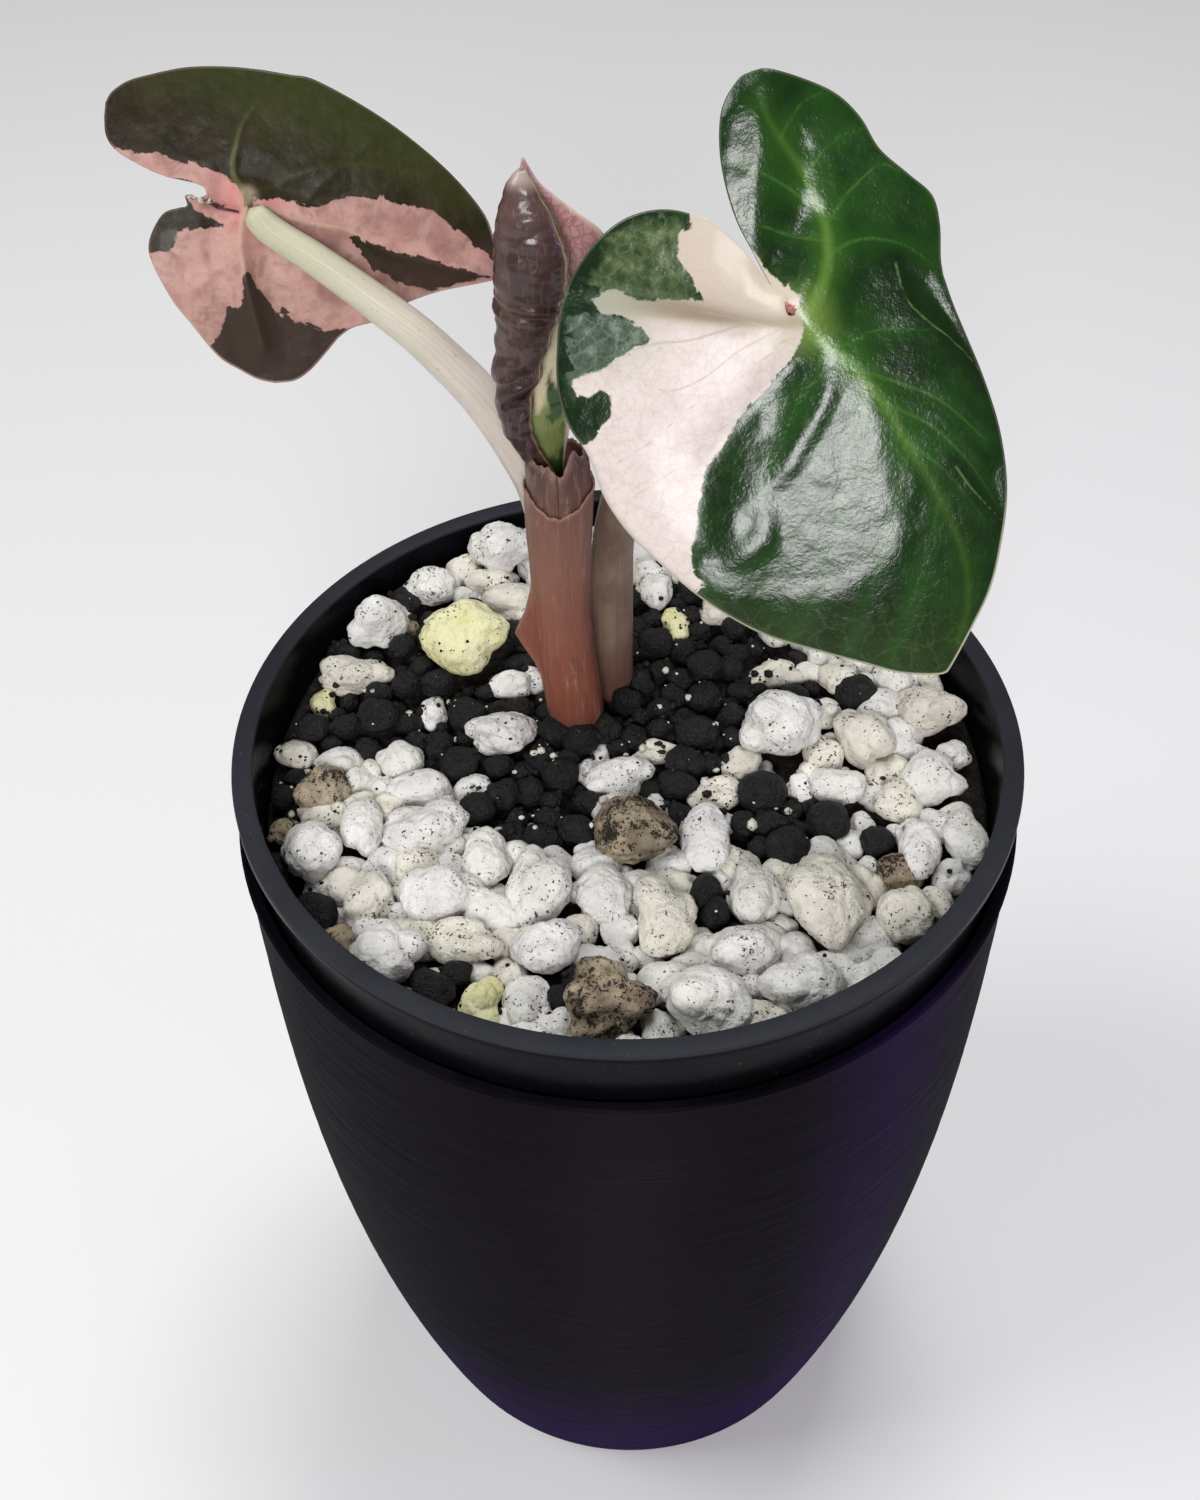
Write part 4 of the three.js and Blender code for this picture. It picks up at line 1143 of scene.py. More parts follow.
frontLeaf = {
    "at": (17.7, -4, 196.1), "turn": -8, "face": 31.6, "reach": 176.8, "stations": (66, 96, 60), "rings": 46,
    "wall": 0.5,
    "mainVeins": [
        [(0, 0), (1.3, 2.4), (2, 5), (2, 7.4), (1.2, 10.2), (-0.8, 13.9), (-3.3, 17), (-4.9, 19.1),
         (-5.7, 20.9)],
        [(0, 0), (2, -1.7), (5.2, -4), (8.5, -7.2), (11.3, -11), (14.2, -14.9), (16.6, -18.8),
         (18.5, -22.7), (19.3, -27), (18.7, -31.4)],
        [(0, 0), (-2.1, -0.9), (-6.1, -0.7), (-11.2, 0.2), (-15.3, 0.7), (-20.6, 0.8)],
    ],
    "margin": [
        [(-1.4, 1.2), (-2.8, 2.7), (-4.9, 5.8), (-7, 8.9), (-8.5, 12.4), (-9.4, 16.1), (-9.4, 19.8),
         (-8, 22.5), (-6.7, 23.3)],
        [(-6.7, 23.3), (-5.2, 23.6), (-2, 22.9), (1.5, 21.6), (4.1, 19.5), (6.2, 16.7), (9.2, 14.5),
         (11.7, 12.6), (12.7, 9.9), (13.1, 6.8), (13.5, 5.2)],
        [(13.5, 5.2), (14.8, 2.4), (16.1, 0), (18.6, -4.7), (20.7, -9.7), (22, -15.4), (22, -21),
         (21.4, -25.6), (20, -29.7), (18.6, -33.2), (18, -34.5)],
        [(18, -34.5), (16.9, -34.9), (13.1, -35), (9.4, -34.3), (4.7, -33.4), (-0.7, -32.2), (-5, -30.4),
         (-8.8, -28.2), (-12.4, -25.5), (-16, -22.5), (-18.8, -19), (-20.3, -15.6), (-21.2, -14)],
        [(-21.2, -14), (-23.1, -11.5), (-24.4, -7.6), (-24.6, -2.6), (-24.3, 0.4)],
        [(-24.3, 0.4), (-23.3, 3.3), (-21, 6.8), (-18, 9.2), (-14.2, 10.1), (-10.2, 9.3), (-6.7, 6.9),
         (-3.6, 3.6), (-2.4, 2.9), (-1.6, 2.1), (-1.4, 1.2)],
    ],
    "sideVeins": [
        [(2.1, 6.5), (3.7, 7.6), (6.1, 8.3), (9.5, 7.8), (12.1, 6.3)],
        [(1.5, -1.2), (4, -2.1), (7.8, -0.4), (12.8, -0.1)],
        [(5.2, -4.2), (9.3, -5.2), (14.4, -6.9), (19.3, -10.5)],
        [(8.5, -7.4), (13.7, -9.4), (18.1, -13.1), (21.5, -17.4)],
        [(11.4, -11.2), (15.6, -13.8), (20.1, -18.5)],
        [(4.1, -3.1), (0.5, -7.7), (-2, -14.9), (-4.5, -22.2)],
        [(7.4, -6.1), (5.8, -11.4), (5.5, -18.5), (4.1, -26.9), (1.5, -32.3)],
        [(11.3, -11), (11, -18.1), (9.2, -26.5), (7.8, -32.9)],
        [(15.4, -16.8), (14.5, -23), (13.1, -29.4), (12, -34.2)],
        [(1.6, 9.3), (3.7, 12.7), (6.4, 15.2), (8.4, 14.6)],
        [(-0.8, 13.9), (1.8, 17.3), (4.6, 18.5)],
        [(1, 10.3), (-2.1, 12.5), (-5.7, 14.2), (-9, 15)],
        [(1.9, 7.9), (-1.8, 8.2), (-4.8, 9), (-7, 9.2)],
        [(-3.5, 17.3), (-1.8, 20.4), (0.5, 21.8)],
    ],
    "paleVeins": [
        [(-2.1, -0.9), (-5.9, -3.1), (-9.8, -6.3), (-13.8, -7.5), (-20.1, -4.9)],
        [(-1, -1.4), (-4.8, -5), (-9.6, -8.3), (-15.5, -13.7), (-19.5, -16)],
        [(-0.5, -1.8), (-2.7, -6.4), (-7.4, -11.2), (-13.2, -16.6), (-17.7, -19.5)],
        [(-6.1, -0.7), (-11, -2.4), (-15.1, -3.1), (-20.1, -5.4), (-23.5, -9.1)],
    ],
    "pale": [
        (0.4, -0.8), (0, -2.3), (-1.7, -5), (-3.1, -6.9), (-5, -9.2), (-6.8, -12.1), (-8.2, -14.8),
        (-9.2, -18.9), (-9.2, -22.5), (-9.8, -24.2), (-9.3, -25.7), (-7.8, -26.9), (-9.4, -28.4),
        (-12.6, -27), (-19.3, -19.1), (-22.2, -14.1), (-20.2, -12.9), (-19.7, -11.4), (-18.8, -10.3),
        (-18.7, -8.3), (-19.9, -7.7), (-20.9, -8.9), (-22.2, -8.5), (-22.8, -7), (-20, -5.9), (-17.6, -4.2),
        (-15.1, -2.6), (-16.2, -1.2), (-17.8, -0.6), (-20.3, -0.1), (-21.4, 1), (-19.4, 1.9), (-16.3, 1.3),
        (-12.8, 1.4), (-10.1, 1.6), (-11.5, 3.9), (-12.8, 5.8), (-12.7, 7.7), (-11.8, 8.7), (-12.3, 10.4),
        (-10.3, 10.7), (-4.6, 5.7), (-0.8, 2.5), (-0.1, 0.6),
    ],
    "olive": [(-20.3, 7.3), (-16.8, 9.5), (-13, 8.9), (-12.3, 6.3), (-10.3, 1.6), (-15.3, 0.1),
              (-20.1, 1.3), (-21.5, 2.5)],
    "greyGreen": [(-23.4, -1), (-20.6, -0.1), (-17.2, -0.5), (-14.8, -2.4), (-17.4, -4.6), (-20, -6.3),
                  (-23, -7.4)],
    "bulge": [(-3.1, -7.1), (-5.4, -10), (-7.1, -12.7), (-8.5, -15.3), (-8.9, -18.4), (-8.7, -21.5),
              (-7, -24), (-3.8, -24.8), (-1.9, -22.6), (-1.8, -19.5), (-2.8, -18), (-0.9, -15.8),
              (1.3, -11.6), (3.5, -7.5), (3.4, -4.5), (0.1, -3.3), (-1.3, -4.8)],
    "shines": [
        [(3.7, -4), (7.3, -5.3), (8.5, -9.2), (9.2, -13.2), (10.8, -17.6), (11.6, -21.7), (10.1, -24.1),
         (8, -26.1), (6.8, -27.7), (2.2, -28.3), (-2.5, -28.2), (-6.7, -27.8), (-8.4, -26.7), (-8.5, -24.8),
         (-4.8, -25.6), (-1.2, -24.6), (0.7, -23.1), (-0.1, -19.9), (-1.2, -17.9), (1.6, -14.7),
         (3.7, -10.5), (4.6, -6.9)],
        [(-7.7, 20.6), (-6.1, 19.3), (-4.5, 17), (-2.4, 15.7), (-1.2, 13.4), (-0.8, 11.1), (-1.4, 8.7),
         (-3.2, 7.7), (-4, 4.8), (-5.6, 6.6), (-7.4, 9.9), (-8.4, 13.1), (-8.6, 16.9), (-8.3, 19.7)],
        [(-5.7, 22.6), (-3.5, 22.4), (-1.8, 20.8), (-0.5, 18.1), (0, 16.3), (-1.5, 16), (-3, 17.6),
         (-4.4, 19.3), (-5.6, 21.1)],
        [(-3, -8.2), (-1.6, -8.4), (-1.9, -10.6), (-3.2, -11.8)],
        [(-6, -19.4), (-4.2, -19), (-3, -20.6), (-4.6, -21.4)],
    ],
    "hollow": [(3.3, 5.9), (6.2, 7), (8.7, 6.2), (9.2, 3.5), (7.8, 0.6), (4.9, -1), (2.9, -0.7),
               (2.5, 2.2)],
    "foldedUnder": [(8.7, 6.2), (12.7, 5.8), (15, 2.2), (17.4, -2), (18.6, -4.2), (15.3, -1.4), (12.6, 1),
                    (10.7, 2.7)],
    "folds": [[(8.7, 6.2), (10, 2.9), (12.2, 0.9), (14.6, -0.7), (17, -2.7), (18.9, -5)],
              [(16.6, -13.3), (18.2, -15.2), (19.9, -16.8), (21.9, -18.6)]],
    "lowFold": [(16.8, -13.7), (18.3, -15.1), (19.9, -16.5), (21.9, -18.4), (22.3, -15), (21.4, -11.6)],
    # slopes that turn a part to the key light, and away from it
    "shineSlope": (-0.03, 0.05), "bulgeSlope": (0.24, -0.06), "awaySlope": (-0.29, -0.02), "hold": 60,
    "turnedAway": [[(-1.2, 20.5), (4.1, 19.5), (6.2, 16.7), (9.2, 14.5), (11.7, 12.6), (12.7, 9.9),
                    (11, 8.4), (6, 9.4), (2.4, 9.4), (0.9, 12.2), (-0.8, 15.4), (-1.6, 17.6)],
                   [(-1, 2), (2.6, 8.4), (4.6, 7), (8.5, 4), (8, -3), (12.5, -8.5), (16, -14.5), (17, -19),
                    (14, -14), (10.8, -9.8), (7.8, -6), (4.2, -2.9), (1, -0.5)]],
}


def frontRelief(leaf, flat):
    x, y = flat.T
    droop = -0.0045 * ((x + 1) ** 2 + (y + 6) ** 2) - 0.006 * np.maximum(0, x + 0.45 * y) ** 2
    step, low = 0.5, np.array([-27.0, -38.0])
    nodesX, nodesY = np.meshgrid(np.arange(low[0], 25, step), np.arange(low[1], 26, step), indexing="ij")
    grid = np.column_stack([nodesX.ravel(), nodesY.ravel()])
    gx, gy = grid.T
    lift = np.maximum(0, gx + 0.45 * gy)
    droopX = -0.009 * (gx + 1) - 0.012 * lift
    droopY = -0.009 * (gy + 6) - 0.0054 * lift
    shine = smoothStep(insideAny(grid, leaf["shines"]), -0.5, 0.6)
    bulge = smoothStep(insideBy(grid, leaf["bulge"]), -0.3, 1.2) * (1 - shine)
    away = smoothStep(insideAny(grid, leaf["turnedAway"]), -0.6, 1.2) * (1 - shine)
    slopeX, slopeY = np.zeros(len(grid)), np.zeros(len(grid))
    for share, wanted in ((shine, "shineSlope"), (bulge, "bulgeSlope"), (away, "awaySlope")):
        slopeX += share * (leaf[wanted][0] - droopX)
        slopeY += share * (leaf[wanted][1] - droopY)
    firm = 0.04 + shine + 1.1 * bulge + 0.8 * away
    swell = settle(step, *(part.reshape(nodesX.shape) for part in (slopeX, slopeY, firm)), leaf["hold"])
    z = droop + lookUp(flat, low, step, swell)
    main = veinBy(flat, leaf["mainVeins"][:2], 0, 0)
    side = veinBy(flat, leaf["sideVeins"], 0, 0)
    z = z - 0.04 * np.exp(-main ** 2) * smoothStep(np.hypot(x, y), 0, 4) - 0.03 * np.exp(-(side / 0.8) ** 2)
    z = z - 0.25 * smoothStep(insideBy(flat, leaf["hollow"]), -0.6, 3)
    z = z - 0.5 * smoothStep(insideBy(flat, leaf["foldedUnder"]), -0.4, 2.4)
    z = z - 0.35 * smoothStep(insideBy(flat, leaf["lowFold"]), -0.4, 2.2)
    # the left lobe is creased along its vein, and its upper part stands up from there
    above = np.maximum(0, y + 1.0 + 0.15 * x)
    z = z + 1.5 * (1 - np.exp(-above / 2.6)) * smoothStep(-x, 0.5, 6)
    below = np.maximum(0, -(y + 1.0 + 0.15 * x))
    z = z + 0.5 * (1 - np.exp(-below / 2)) * smoothStep(-x, 0.5, 6)
    return z + 0.04 * crumple(np.column_stack([flat, 0 * x]), 3.2, 2)


def frontMarks(leaf, flat, edges):
    margin, _ = nearPath(flat, np.vstack([edges, edges[:1]]))
    return {
        "margin": margin,
        "mainVein": veinBy(flat, leaf["mainVeins"][:2], 0.6, 0.15),
        "sideVein": veinBy(flat, leaf["sideVeins"], 0.16, 0.03),
        "paleVein": veinBy(flat, leaf["paleVeins"], 0.09, 0.02),
        "pale": insideBy(flat, leaf["pale"]),
        "olive": insideBy(flat, leaf["olive"]),
        "greyGreen": insideBy(flat, leaf["greyGreen"]),
        "crease": veinBy(flat, leaf["mainVeins"][2:], 0, 0),
        "fold": veinBy(flat, leaf["folds"], 0.12, 0.02),
        "slit": np.full(len(flat), 9.0),
        "planeX": flat[:, 0],
        "planeY": flat[:, 1],
    }


def blotchFields(f):
    # the uneven edge that the pale sectors have, from cells and noise, in mm
    cell = f.cells(1.1, output="Color", shake=0.5)
    shade = f.add("ShaderNodeSeparateColor", {0: cell}).outputs[0]
    step = f.calc("MULTIPLY", f.calc("SUBTRACT", shade, 0.5), 0.9)
    wave = f.calc("MULTIPLY", f.calc("SUBTRACT", f.noise(1.6, detail=5, rough=0.7), 0.5), 2.4)
    return f.calc("ADD", step, wave)


def stalkDistance(f, planeX, planeY):
    # how far a place is from the stalk's end, in the leaf's plane
    squares = [f.calc("MULTIPLY", plane, plane) for plane in (planeX, planeY)]
    return f.calc("SQRT", f.calc("ADD", *squares), 0)


def faceFinish():
    f = Finish("leafFace", {"Specular IOR Level": 0.42, "Coat Weight": 0.25, "Coat Roughness": 0.16})
    names = ("margin", "mainVein", "sideVein", "paleVein", "pale", "olive", "greyGreen", "planeX", "planeY")
    margin, main, side, paleVein, pale, olive, greyGreen, planeX, planeY = (f.read(name) for name in names)
    crease, fold = f.read("crease"), f.read("fold")
    out = stalkDistance(f, planeX, planeY)
    ragged = blotchFields(f)
    cloud = f.noise(8, detail=3, rough=0.55)
    fine = f.noise(1.4, detail=4, rough=0.6)
    net = f.fade(f.cells(1.3, "DISTANCE_TO_EDGE", shake=0.5), 0.07, 0.0)
    smallNet = f.fade(f.cells(0.7, "DISTANCE_TO_EDGE", shake=0.5), 0.12, 0.0)

    green = f.ramp(cloud, [
        (0.3, (0.002, 0.014, 0.001)), (0.5, (0.005, 0.03, 0.002)), (0.72, (0.012, 0.056, 0.004)),
    ])
    green = f.blend(f.fade(planeX, 13, 20, 0, 0.6), green, (0.0025, 0.015, 0.001))
    green = f.blend(f.fade(planeX, -9, -18, 0, 0.75), green, (0.003, 0.012, 0.003))
    low = f.fade(planeY, -24, -33)
    green = f.blend(f.calc("MULTIPLY", low, 0.5), green, (0.016, 0.032, 0.003))
    green = f.blend(f.calc("MULTIPLY", net, f.fade(low, 0, 1, 0.05, 0.3)), green, (0.06, 0.11, 0.02))
    green = f.blend(f.fade(side, 1.6, 0.0, 0, 0.3), green, (0.02, 0.085, 0.01))
    sideLines = f.calc("MULTIPLY", f.fade(side, 0.15, -0.05), f.fade(out, 6, 30, 0.5, 0.25))
    green = f.blend(sideLines, green, (0.07, 0.16, 0.03))
    near = f.fade(out, 0, 26, 1.0, 0.25)
    green = f.blend(f.calc("MULTIPLY", f.fade(main, 2.6, 0.0, 0, 0.6), near), green, (0.035, 0.12, 0.007))
    # beside the fold lines a painted shadow, and on them a painted highlight
    green = f.blend(f.calc("MULTIPLY", f.fade(fold, 2.2, 0.2), 0.6), green, (0.002, 0.011, 0.001))
    green = f.blend(f.fade(fold, 0.08, -0.06, 0, 0.6), green, (0.12, 0.22, 0.07))
    green = f.blend(f.calc("MULTIPLY", f.fade(main, 0.5, -0.5, 0, 0.75), near), green, (0.12, 0.23, 0.035))
    green = f.blend(f.fade(out, 5, 0, 0, 0.7), green, (0.2, 0.3, 0.055))

    cream = f.ramp(cloud, [
        (0.3, (0.64, 0.545, 0.515)), (0.55, (0.7, 0.615, 0.58)), (0.75, (0.65, 0.55, 0.52)),
    ])
    cream = f.blend(f.fade(fine, 0.4, 0.7, 0, 0.3), cream, (0.64, 0.48, 0.45))
    cream = f.blend(f.calc("MULTIPLY", smallNet, 0.2), cream, (0.45, 0.36, 0.33))
    cream = f.blend(f.calc("MULTIPLY", net, 0.2), cream, (0.46, 0.36, 0.33))
    cream = f.blend(f.fade(paleVein, 0.12, -0.04, 0, 0.65), cream, (0.42, 0.33, 0.28))
    # the pale sector above the crease is darkened: painted shade
    upperShade = f.fade(planeY, -3, 2.5)
    cream = f.blend(f.calc("MULTIPLY", upperShade, 0.9), cream, (0.55, 0.46, 0.37))
    # a painted shade along the crease, on its upper side
    creaseShade = f.calc("MULTIPLY", f.fade(crease, 2.2, 0.1), f.fade(planeY, -1.2, -0.1, 0.2, 0.85))
    cream = f.blend(creaseShade, cream, (0.24, 0.17, 0.1))
    cream = f.blend(f.fade(out, 9, 0, 0, 0.35), cream, (0.6, 0.58, 0.4))
    # towards the left edge the pale sector turns greyish green
    leftEdge = f.calc("MULTIPLY", f.fade(planeX, -11, -20), f.fade(planeY, -9, -1, 0, 0.75))
    cream = f.blend(leftEdge, cream, (0.36, 0.38, 0.3))

    oliveSkin = f.ramp(fine, [
        (0.32, (0.02, 0.045, 0.014)), (0.52, (0.05, 0.085, 0.03)), (0.7, (0.15, 0.18, 0.08)),
    ])
    oliveSkin = f.blend(f.calc("MULTIPLY", net, 0.22), oliveSkin, (0.2, 0.24, 0.11))
    greySkin = f.ramp(fine, [
        (0.32, (0.03, 0.055, 0.035)), (0.55, (0.065, 0.1, 0.07)), (0.72, (0.2, 0.23, 0.18)),
    ])
    greySkin = f.blend(f.calc("MULTIPLY", smallNet, 0.25), greySkin, (0.26, 0.3, 0.24))
    green = f.blend(f.fade(f.calc("ADD", olive, ragged), -0.3, 0.6), green, oliveSkin)
    green = f.blend(f.fade(f.calc("ADD", greyGreen, ragged), -0.3, 0.4), green, greySkin)

    isPale = f.fade(f.calc("ADD", pale, f.calc("MULTIPLY", ragged, 0.5)), -0.12, 0.12)
    # a narrow band beside the pale sector is lighter green
    beside = f.calc("MULTIPLY", f.fade(pale, -1.4, -0.1, 0, 0.4), f.fade(ragged, -0.6, 0.6))
    green = f.blend(beside, green, (0.09, 0.15, 0.07))
    colour = f.blend(isPale, green, cream)
    rimmed = f.calc("MULTIPLY", f.fade(margin, 0.28, 0.08, 0, 0.8), f.fade(planeY, -12, -22, 0.15, 1))
    colour = f.blend(rimmed, colour, (0.5, 0.5, 0.34))
    roughness = f.calc("ADD", f.fade(isPale, 0, 1, 0.2, 0.45), f.fade(fine, 0.3, 0.7, 0, 0.08))
    leather = f.bump(f.noise(0.45, detail=3, rough=0.65), 0.04)
    return f.paint(colour, roughness, f.bump(f.noise(2.6, detail=4, rough=0.6), 0.17, leather))


def underFinish(name, dusk, tone, pinkTones):
    f = Finish(name, {"Specular IOR Level": 0.16, "Subsurface Weight": 0.08,
                      "Subsurface Radius": (0.001, 0.0005, 0.0004), "Subsurface Scale": 0.5})
    names = ("margin", "mainVein", "sideVein", "pale", "planeX", "planeY")
    margin, main, side, pale, planeX, planeY = (f.read(name) for name in names)
    out = stalkDistance(f, planeX, planeY)
    ragged = blotchFields(f)
    cloud = f.noise(6, detail=4, rough=0.6)
    fine = f.noise(1.2, detail=4, rough=0.6)
    net = f.fade(f.cells(1.2, "DISTANCE_TO_EDGE", shake=0.5), 0.08, 0.0)
    brown = f.ramp(cloud, [(0.3, dusk[0]), (0.55, dusk[1]), (0.75, dusk[2])])
    greener = f.fade(f.calc("ADD", planeY, f.calc("MULTIPLY", planeX, 0.55)), 5, 13, 0, 0.7)
    brown = f.blend(greener, brown, (0.035, 0.045, 0.008))
    brown = f.blend(f.fade(planeY, -6, -10, 0, 0.7), brown, (0.06, 0.036, 0.03))
    brown = f.blend(f.calc("MULTIPLY", net, 0.12), brown, tone)
    brown = f.blend(f.fade(fine, 0.5, 0.75, 0, 0.3), brown, tone)
    brown = f.blend(f.fade(side, 0.6, -0.1, 0, 0.3), brown, (0.04, 0.05, 0.012))
    mainLines = f.calc("MULTIPLY", f.fade(main, 0.2, -0.2), f.fade(out, 4, 10, 0.75, 0.1))
    brown = f.blend(mainLines, brown, (0.1, 0.12, 0.035))
    pink = f.ramp(cloud, [(0.3, pinkTones[0]), (0.5, pinkTones[1]), (0.7, pinkTones[2])])
    stem = f.fade(out, 1.7, 0.5)
    streaks = f.noise(2.4, detail=4, rough=0.6, twist=0.7)
    pink = f.blend(f.fade(streaks, 0.45, 0.7, 0, 0.6), pink, (0.25, 0.13, 0.1))
    pink = f.blend(f.fade(fine, 0.5, 0.75, 0, 0.22), pink, (0.24, 0.13, 0.1))
    pink = f.blend(f.calc("MULTIPLY", net, 0.12), pink, (0.4, 0.17, 0.15))
    pink = f.blend(f.fade(out, 6, 1, 0, 0.6), pink, (0.6, 0.2, 0.19))
    pink = f.blend(f.fade(main, 0.2, -0.2, 0, 0.7), pink, (0.5, 0.33, 0.25))
    isPale = f.fade(f.calc("ADD", pale, f.calc("MULTIPLY", ragged, 0.55)), -0.1, 0.1)
    colour = f.blend(isPale, brown, pink)
    colour = f.blend(f.calc("MULTIPLY", stem, 0.5), colour, (0.5, 0.36, 0.26))
    # a dark line follows the pale sectors
    outline = f.fade(f.calc("ABSOLUTE", f.calc("ADD", pale, 0.35), 0), 0.3, 0, 0, 0.25)
    colour = f.blend(outline, colour, (0.05, 0.02, 0.018))
    grey = f.fade(f.calc("ADD", f.read("greyGreen"), f.calc("MULTIPLY", ragged, 0.4)), -0.1, 0.3)
    colour = f.blend(f.calc("MULTIPLY", grey, 0.7), colour, (0.085, 0.08, 0.065))
    # the dark line along the slit is painted shade in its groove
    colour = f.blend(f.fade(f.read("slit"), 0.28, 0.06), colour, (0.035, 0.01, 0.01))
    rimmed = f.calc("MULTIPLY", f.fade(margin, 0.3, 0.1, 0, 0.6), f.fade(planeY, -2, -9, 0.2, 1))
    colour = f.blend(rimmed, colour, (0.5, 0.36, 0.3))
    roughness = f.fade(fine, 0.3, 0.7, 0.36, 0.5)
    return f.paint(colour, roughness, f.bump(f.noise(2.4, detail=3), 0.12, f.bump(fine, 0.05)))


def addBlade(name, leaf, relief, marks, finishes, node):
    # the first finish is on the side that the camera sees, the second on the other
    piece = makeBlade(name, leaf, relief, marks)
    for finish in finishes:
        piece.data.materials.append(finish.material)
    thicken(piece, leaf["wall"], back=1)
    sides = [polygon.material_index for polygon in piece.data.polygons]
    finishPiece(piece, finishes, [node])
    piece.data.polygons.foreach_set("material_index", sides)


face = faceFinish()
under = underFinish("leafUnder", ((0.012, 0.009, 0.004), (0.024, 0.018, 0.007), (0.036, 0.029, 0.01)),
                    (0.055, 0.044, 0.02), ((0.42, 0.215, 0.185), (0.52, 0.315, 0.27), (0.34, 0.175, 0.15)))
addBlade("leaf_front_blade", frontLeaf, frontRelief, frontMarks, [face, under], "leaf_front")
print("front leaf shaped")


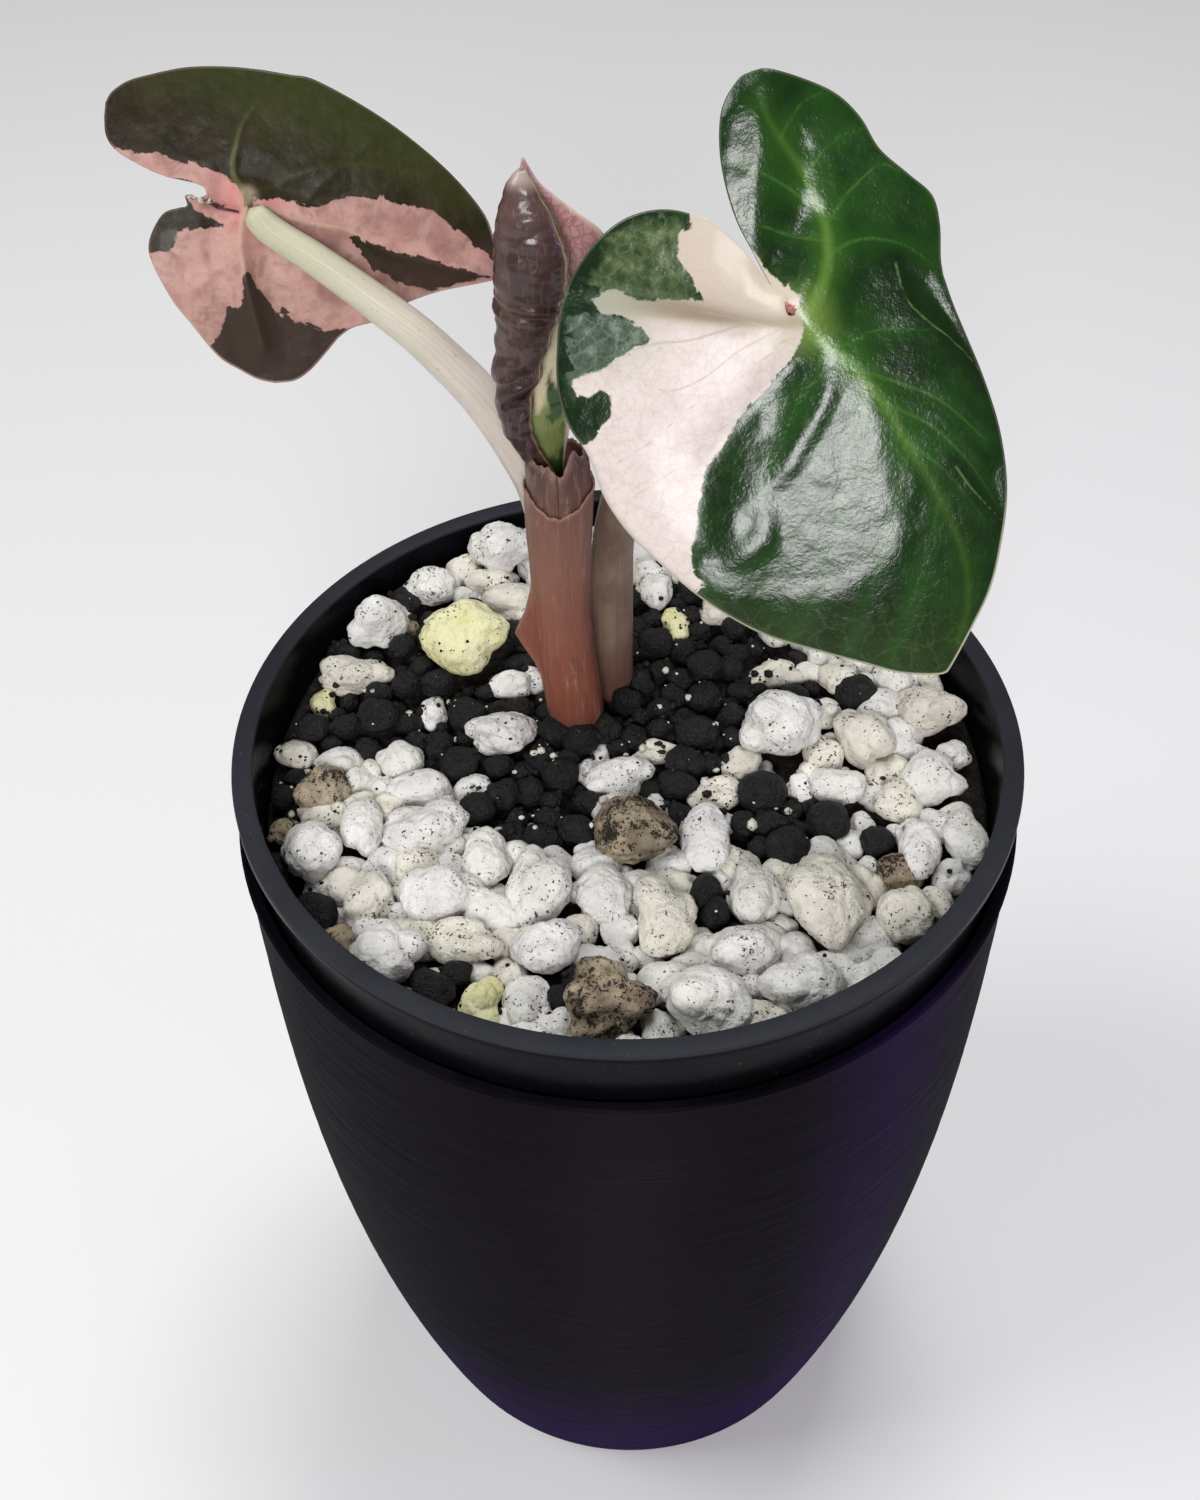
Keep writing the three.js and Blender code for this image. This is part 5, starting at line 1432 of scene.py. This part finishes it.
leftLeaf = {
    "at": (-41.7, 25, 195.6), "turn": 12, "face": 27, "reach": 204.6, "stations": (60, 70, 76), "rings": 40,
    "wall": 0.5,
    "mainVeins": [
        [(0, 0), (-2.4, 3.2), (-6, 6.3), (-9.5, 8.9)],
        [(0, 0), (3.6, -2.4), (7, -3.8), (10.2, -4.8), (12.3, -6.2), (15.7, -8.3), (19.9, -9.8),
         (24, -11.3)],
        [(0, 0), (-1.6, -4.5), (-1.7, -10), (-1.2, -16.5)],
    ],
    "margin": [
        [(-4.4, 0.4), (-4.5, 1.5), (-5.9, 2.3), (-8.5, 3.2), (-10.9, 4.6), (-13, 6.2), (-13.9, 7.8),
         (-13.8, 9.6), (-13.3, 11.4)],
        [(-13.3, 11.4), (-12.4, 12.4), (-10.5, 13.3), (-8, 13.7), (-4.7, 14), (-2, 13.9), (1.1, 13.5),
         (4, 12.9)],
        [(4, 12.9), (6.9, 12.1), (9.5, 11.3), (14.6, 7.9), (19.1, 4.1), (23.3, -0.4), (26.3, -4.9),
         (27.1, -8), (27.3, -10), (27.1, -12.4)],
        [(27.1, -12.4), (24.8, -12.6), (19.4, -13), (14.6, -14.1), (12.6, -15.2), (9.3, -15.7),
         (7.5, -16.6)],
        [(7.5, -16.6), (5.7, -18.2), (3.7, -19.8), (1.8, -20.7), (-0.5, -20.7)],
        [(-0.5, -20.7), (-2.4, -20), (-4.2, -18.7), (-6.4, -16.8), (-8.8, -12.7), (-10.3, -10),
         (-11.7, -5.7), (-11.5, -3.3), (-9.6, -0.8), (-7.7, -0.3), (-6.7, -0.2), (-6.8, 1), (-6.1, 0.4),
         (-4.4, 0.4)],
    ],
    "sideVeins": [
        [(-0.3, 0.8), (-1, 2.1), (-1, 3.5), (-0.4, 5.2), (0.9, 7.8), (3, 9.9)],
        [(0.3, 0), (5.1, 1.4), (9.7, 2.3), (15.3, 1.6), (20.8, -0.1)],
        [(5.7, -1.6), (9.5, 1.2), (14.6, 4.4)],
        [(8.8, -3), (12, -6.8), (14, -11.5)],
        [(-1.7, -7), (2.5, -9.5), (7, -12.5)],
        [(-1.6, -5), (-5, -7.5), (-8.5, -9.5)],
    ],
    "pinks": [
        [(-13.5, 7), (-11.7, 6.1), (-9.1, 5.8), (-6.5, 4.7), (-4, 3.5), (-2, 2.5), (-0.8, 1.3), (-0.4, 0.4),
         (-0.6, -0.8), (-1.3, -1.5), (-2.6, -0.8), (-4.2, -0.2), (-4.8, 1.2), (-6, 2.1), (-8.6, 2.9),
         (-11, 4.2), (-13.2, 5.9)],
        [(0.8, -0.2), (1.7, -0.4), (3.6, -0.8), (5.7, -1.4), (7.9, -2), (9.6, -1.6), (11.7, -1.3),
         (13.9, -1.7), (15.8, -2.2), (18, -3), (20.2, -3.7), (21.3, -4.4), (22.5, -5.8), (24, -7.6),
         (25.6, -9.1), (27, -10.2), (27.6, -12.1), (26.1, -11.8), (24.1, -11.1), (22.1, -10.5),
         (19.9, -9.6), (17.7, -8.8), (15.8, -8.1), (13.9, -7.1), (12.3, -6.2), (11, -5.5), (8.3, -6.3),
         (3, -4), (0.4, -2.6)],
        [(-0.3, -2.2), (3.2, -2.6), (7, -4), (10.2, -5.2), (11.1, -6.6), (11.9, -8.1), (12.9, -9.6),
         (14.8, -11), (16.3, -12), (18.6, -12.7), (20.3, -12.7), (23.3, -12.3), (26.9, -12.2),
         (27.1, -12.9), (23.8, -13.3), (20.8, -13.6), (18.4, -14.2), (12.6, -15.5), (9.3, -15.8),
         (7.6, -15.6), (6.1, -15.6), (5.6, -15.2), (4, -14.4), (3, -13.7), (1.9, -12.7), (1.5, -13.3),
         (0.8, -13.1), (0.5, -11.7), (-0.4, -10.4), (-1.1, -9.2), (-1.4, -8.2), (-1.8, -8.6), (-2.3, -10.5),
         (-3, -12.1), (-4.3, -11.5), (-4.6, -12.4), (-5.6, -13.7), (-6.7, -15.2), (-7.3, -15.8),
         (-11.8, -8.2), (-11.9, -4.9), (-10.5, -4.8), (-9.5, -4.9), (-8.8, -3.9), (-8.2, -3), (-7.1, -2.7),
         (-6, -2.5), (-4.1, -2.8), (-2.7, -3.1), (-1.3, -2.8)],
        [(-6.5, 0.7), (-6.2, -0.4), (-5.2, -1.5), (-3.2, -2.5), (-1.9, -3.1), (-0.6, -2.7), (-0.2, -1.4),
         (-1.6, -1), (-3.7, -0.2), (-5.2, 0.3)],
    ],
    "grey": [(-10.2, -2.5), (-8.2, -2.5), (-8.8, -3.9), (-9.8, -4.9), (-10.5, -4.5)],
    "slit": [(-4.5, 0), (-3.4, -0.8), (-1.9, -1.3), (-1.3, -1.5)],
}


def leftRelief(leaf, flat):
    x, y = flat.T
    z = -0.008 * ((x - 3) ** 2 * 0.5 + (y + 2) ** 2)
    main = veinBy(flat, leaf["mainVeins"][1:], 0, 0)
    side = veinBy(flat, leaf["sideVeins"], 0, 0)
    z = z + 0.55 * np.exp(-(main / 0.8) ** 2) + 0.14 * np.exp(-(side / 0.6) ** 2)
    z = z - 0.35 * np.exp(-((main - 2.6) / 1.4) ** 2)
    z = z + 0.8 * np.exp(-(((x + 4) / 4) ** 2 + ((y + 10) / 5) ** 2))
    slit, _ = nearPath(flat, leaf["slit"])
    z = z - 0.5 * np.exp(-(slit / 0.5) ** 2)
    return z + 0.12 * crumple(np.column_stack([flat, 0 * x]), 4, 3)


def leftMarks(leaf, flat, edges):
    margin, _ = nearPath(flat, np.vstack([edges, edges[:1]]))
    return {
        "margin": margin,
        "mainVein": veinBy(flat, [leaf["sideVeins"][0], *leaf["mainVeins"][1:]], 0.32, 0.1),
        "sideVein": veinBy(flat, leaf["sideVeins"], 0.14, 0.03),
        "paleVein": veinBy(flat, leaf["sideVeins"], 0.08, 0.02),
        "pale": insideAny(flat, leaf["pinks"]),
        "olive": np.full(len(flat), -9.0),
        "greyGreen": insideBy(flat, leaf["grey"]),
        "crease": np.full(len(flat), 9.0),
        "fold": np.full(len(flat), 9.0),
        "slit": nearPath(flat, leaf["slit"])[0],
        "planeX": flat[:, 0],
        "planeY": flat[:, 1],
    }


addBlade("leaf_left_blade", leftLeaf, leftRelief, leftMarks, [under, face], "leaf_left")
print("left leaf shaped")

bpy.context.view_layer.update()
meshes = [piece.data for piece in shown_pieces() if piece.type == "MESH"]
print("triangles:", sum(len(polygon.vertices) - 2 for mesh in meshes for polygon in mesh.polygons))
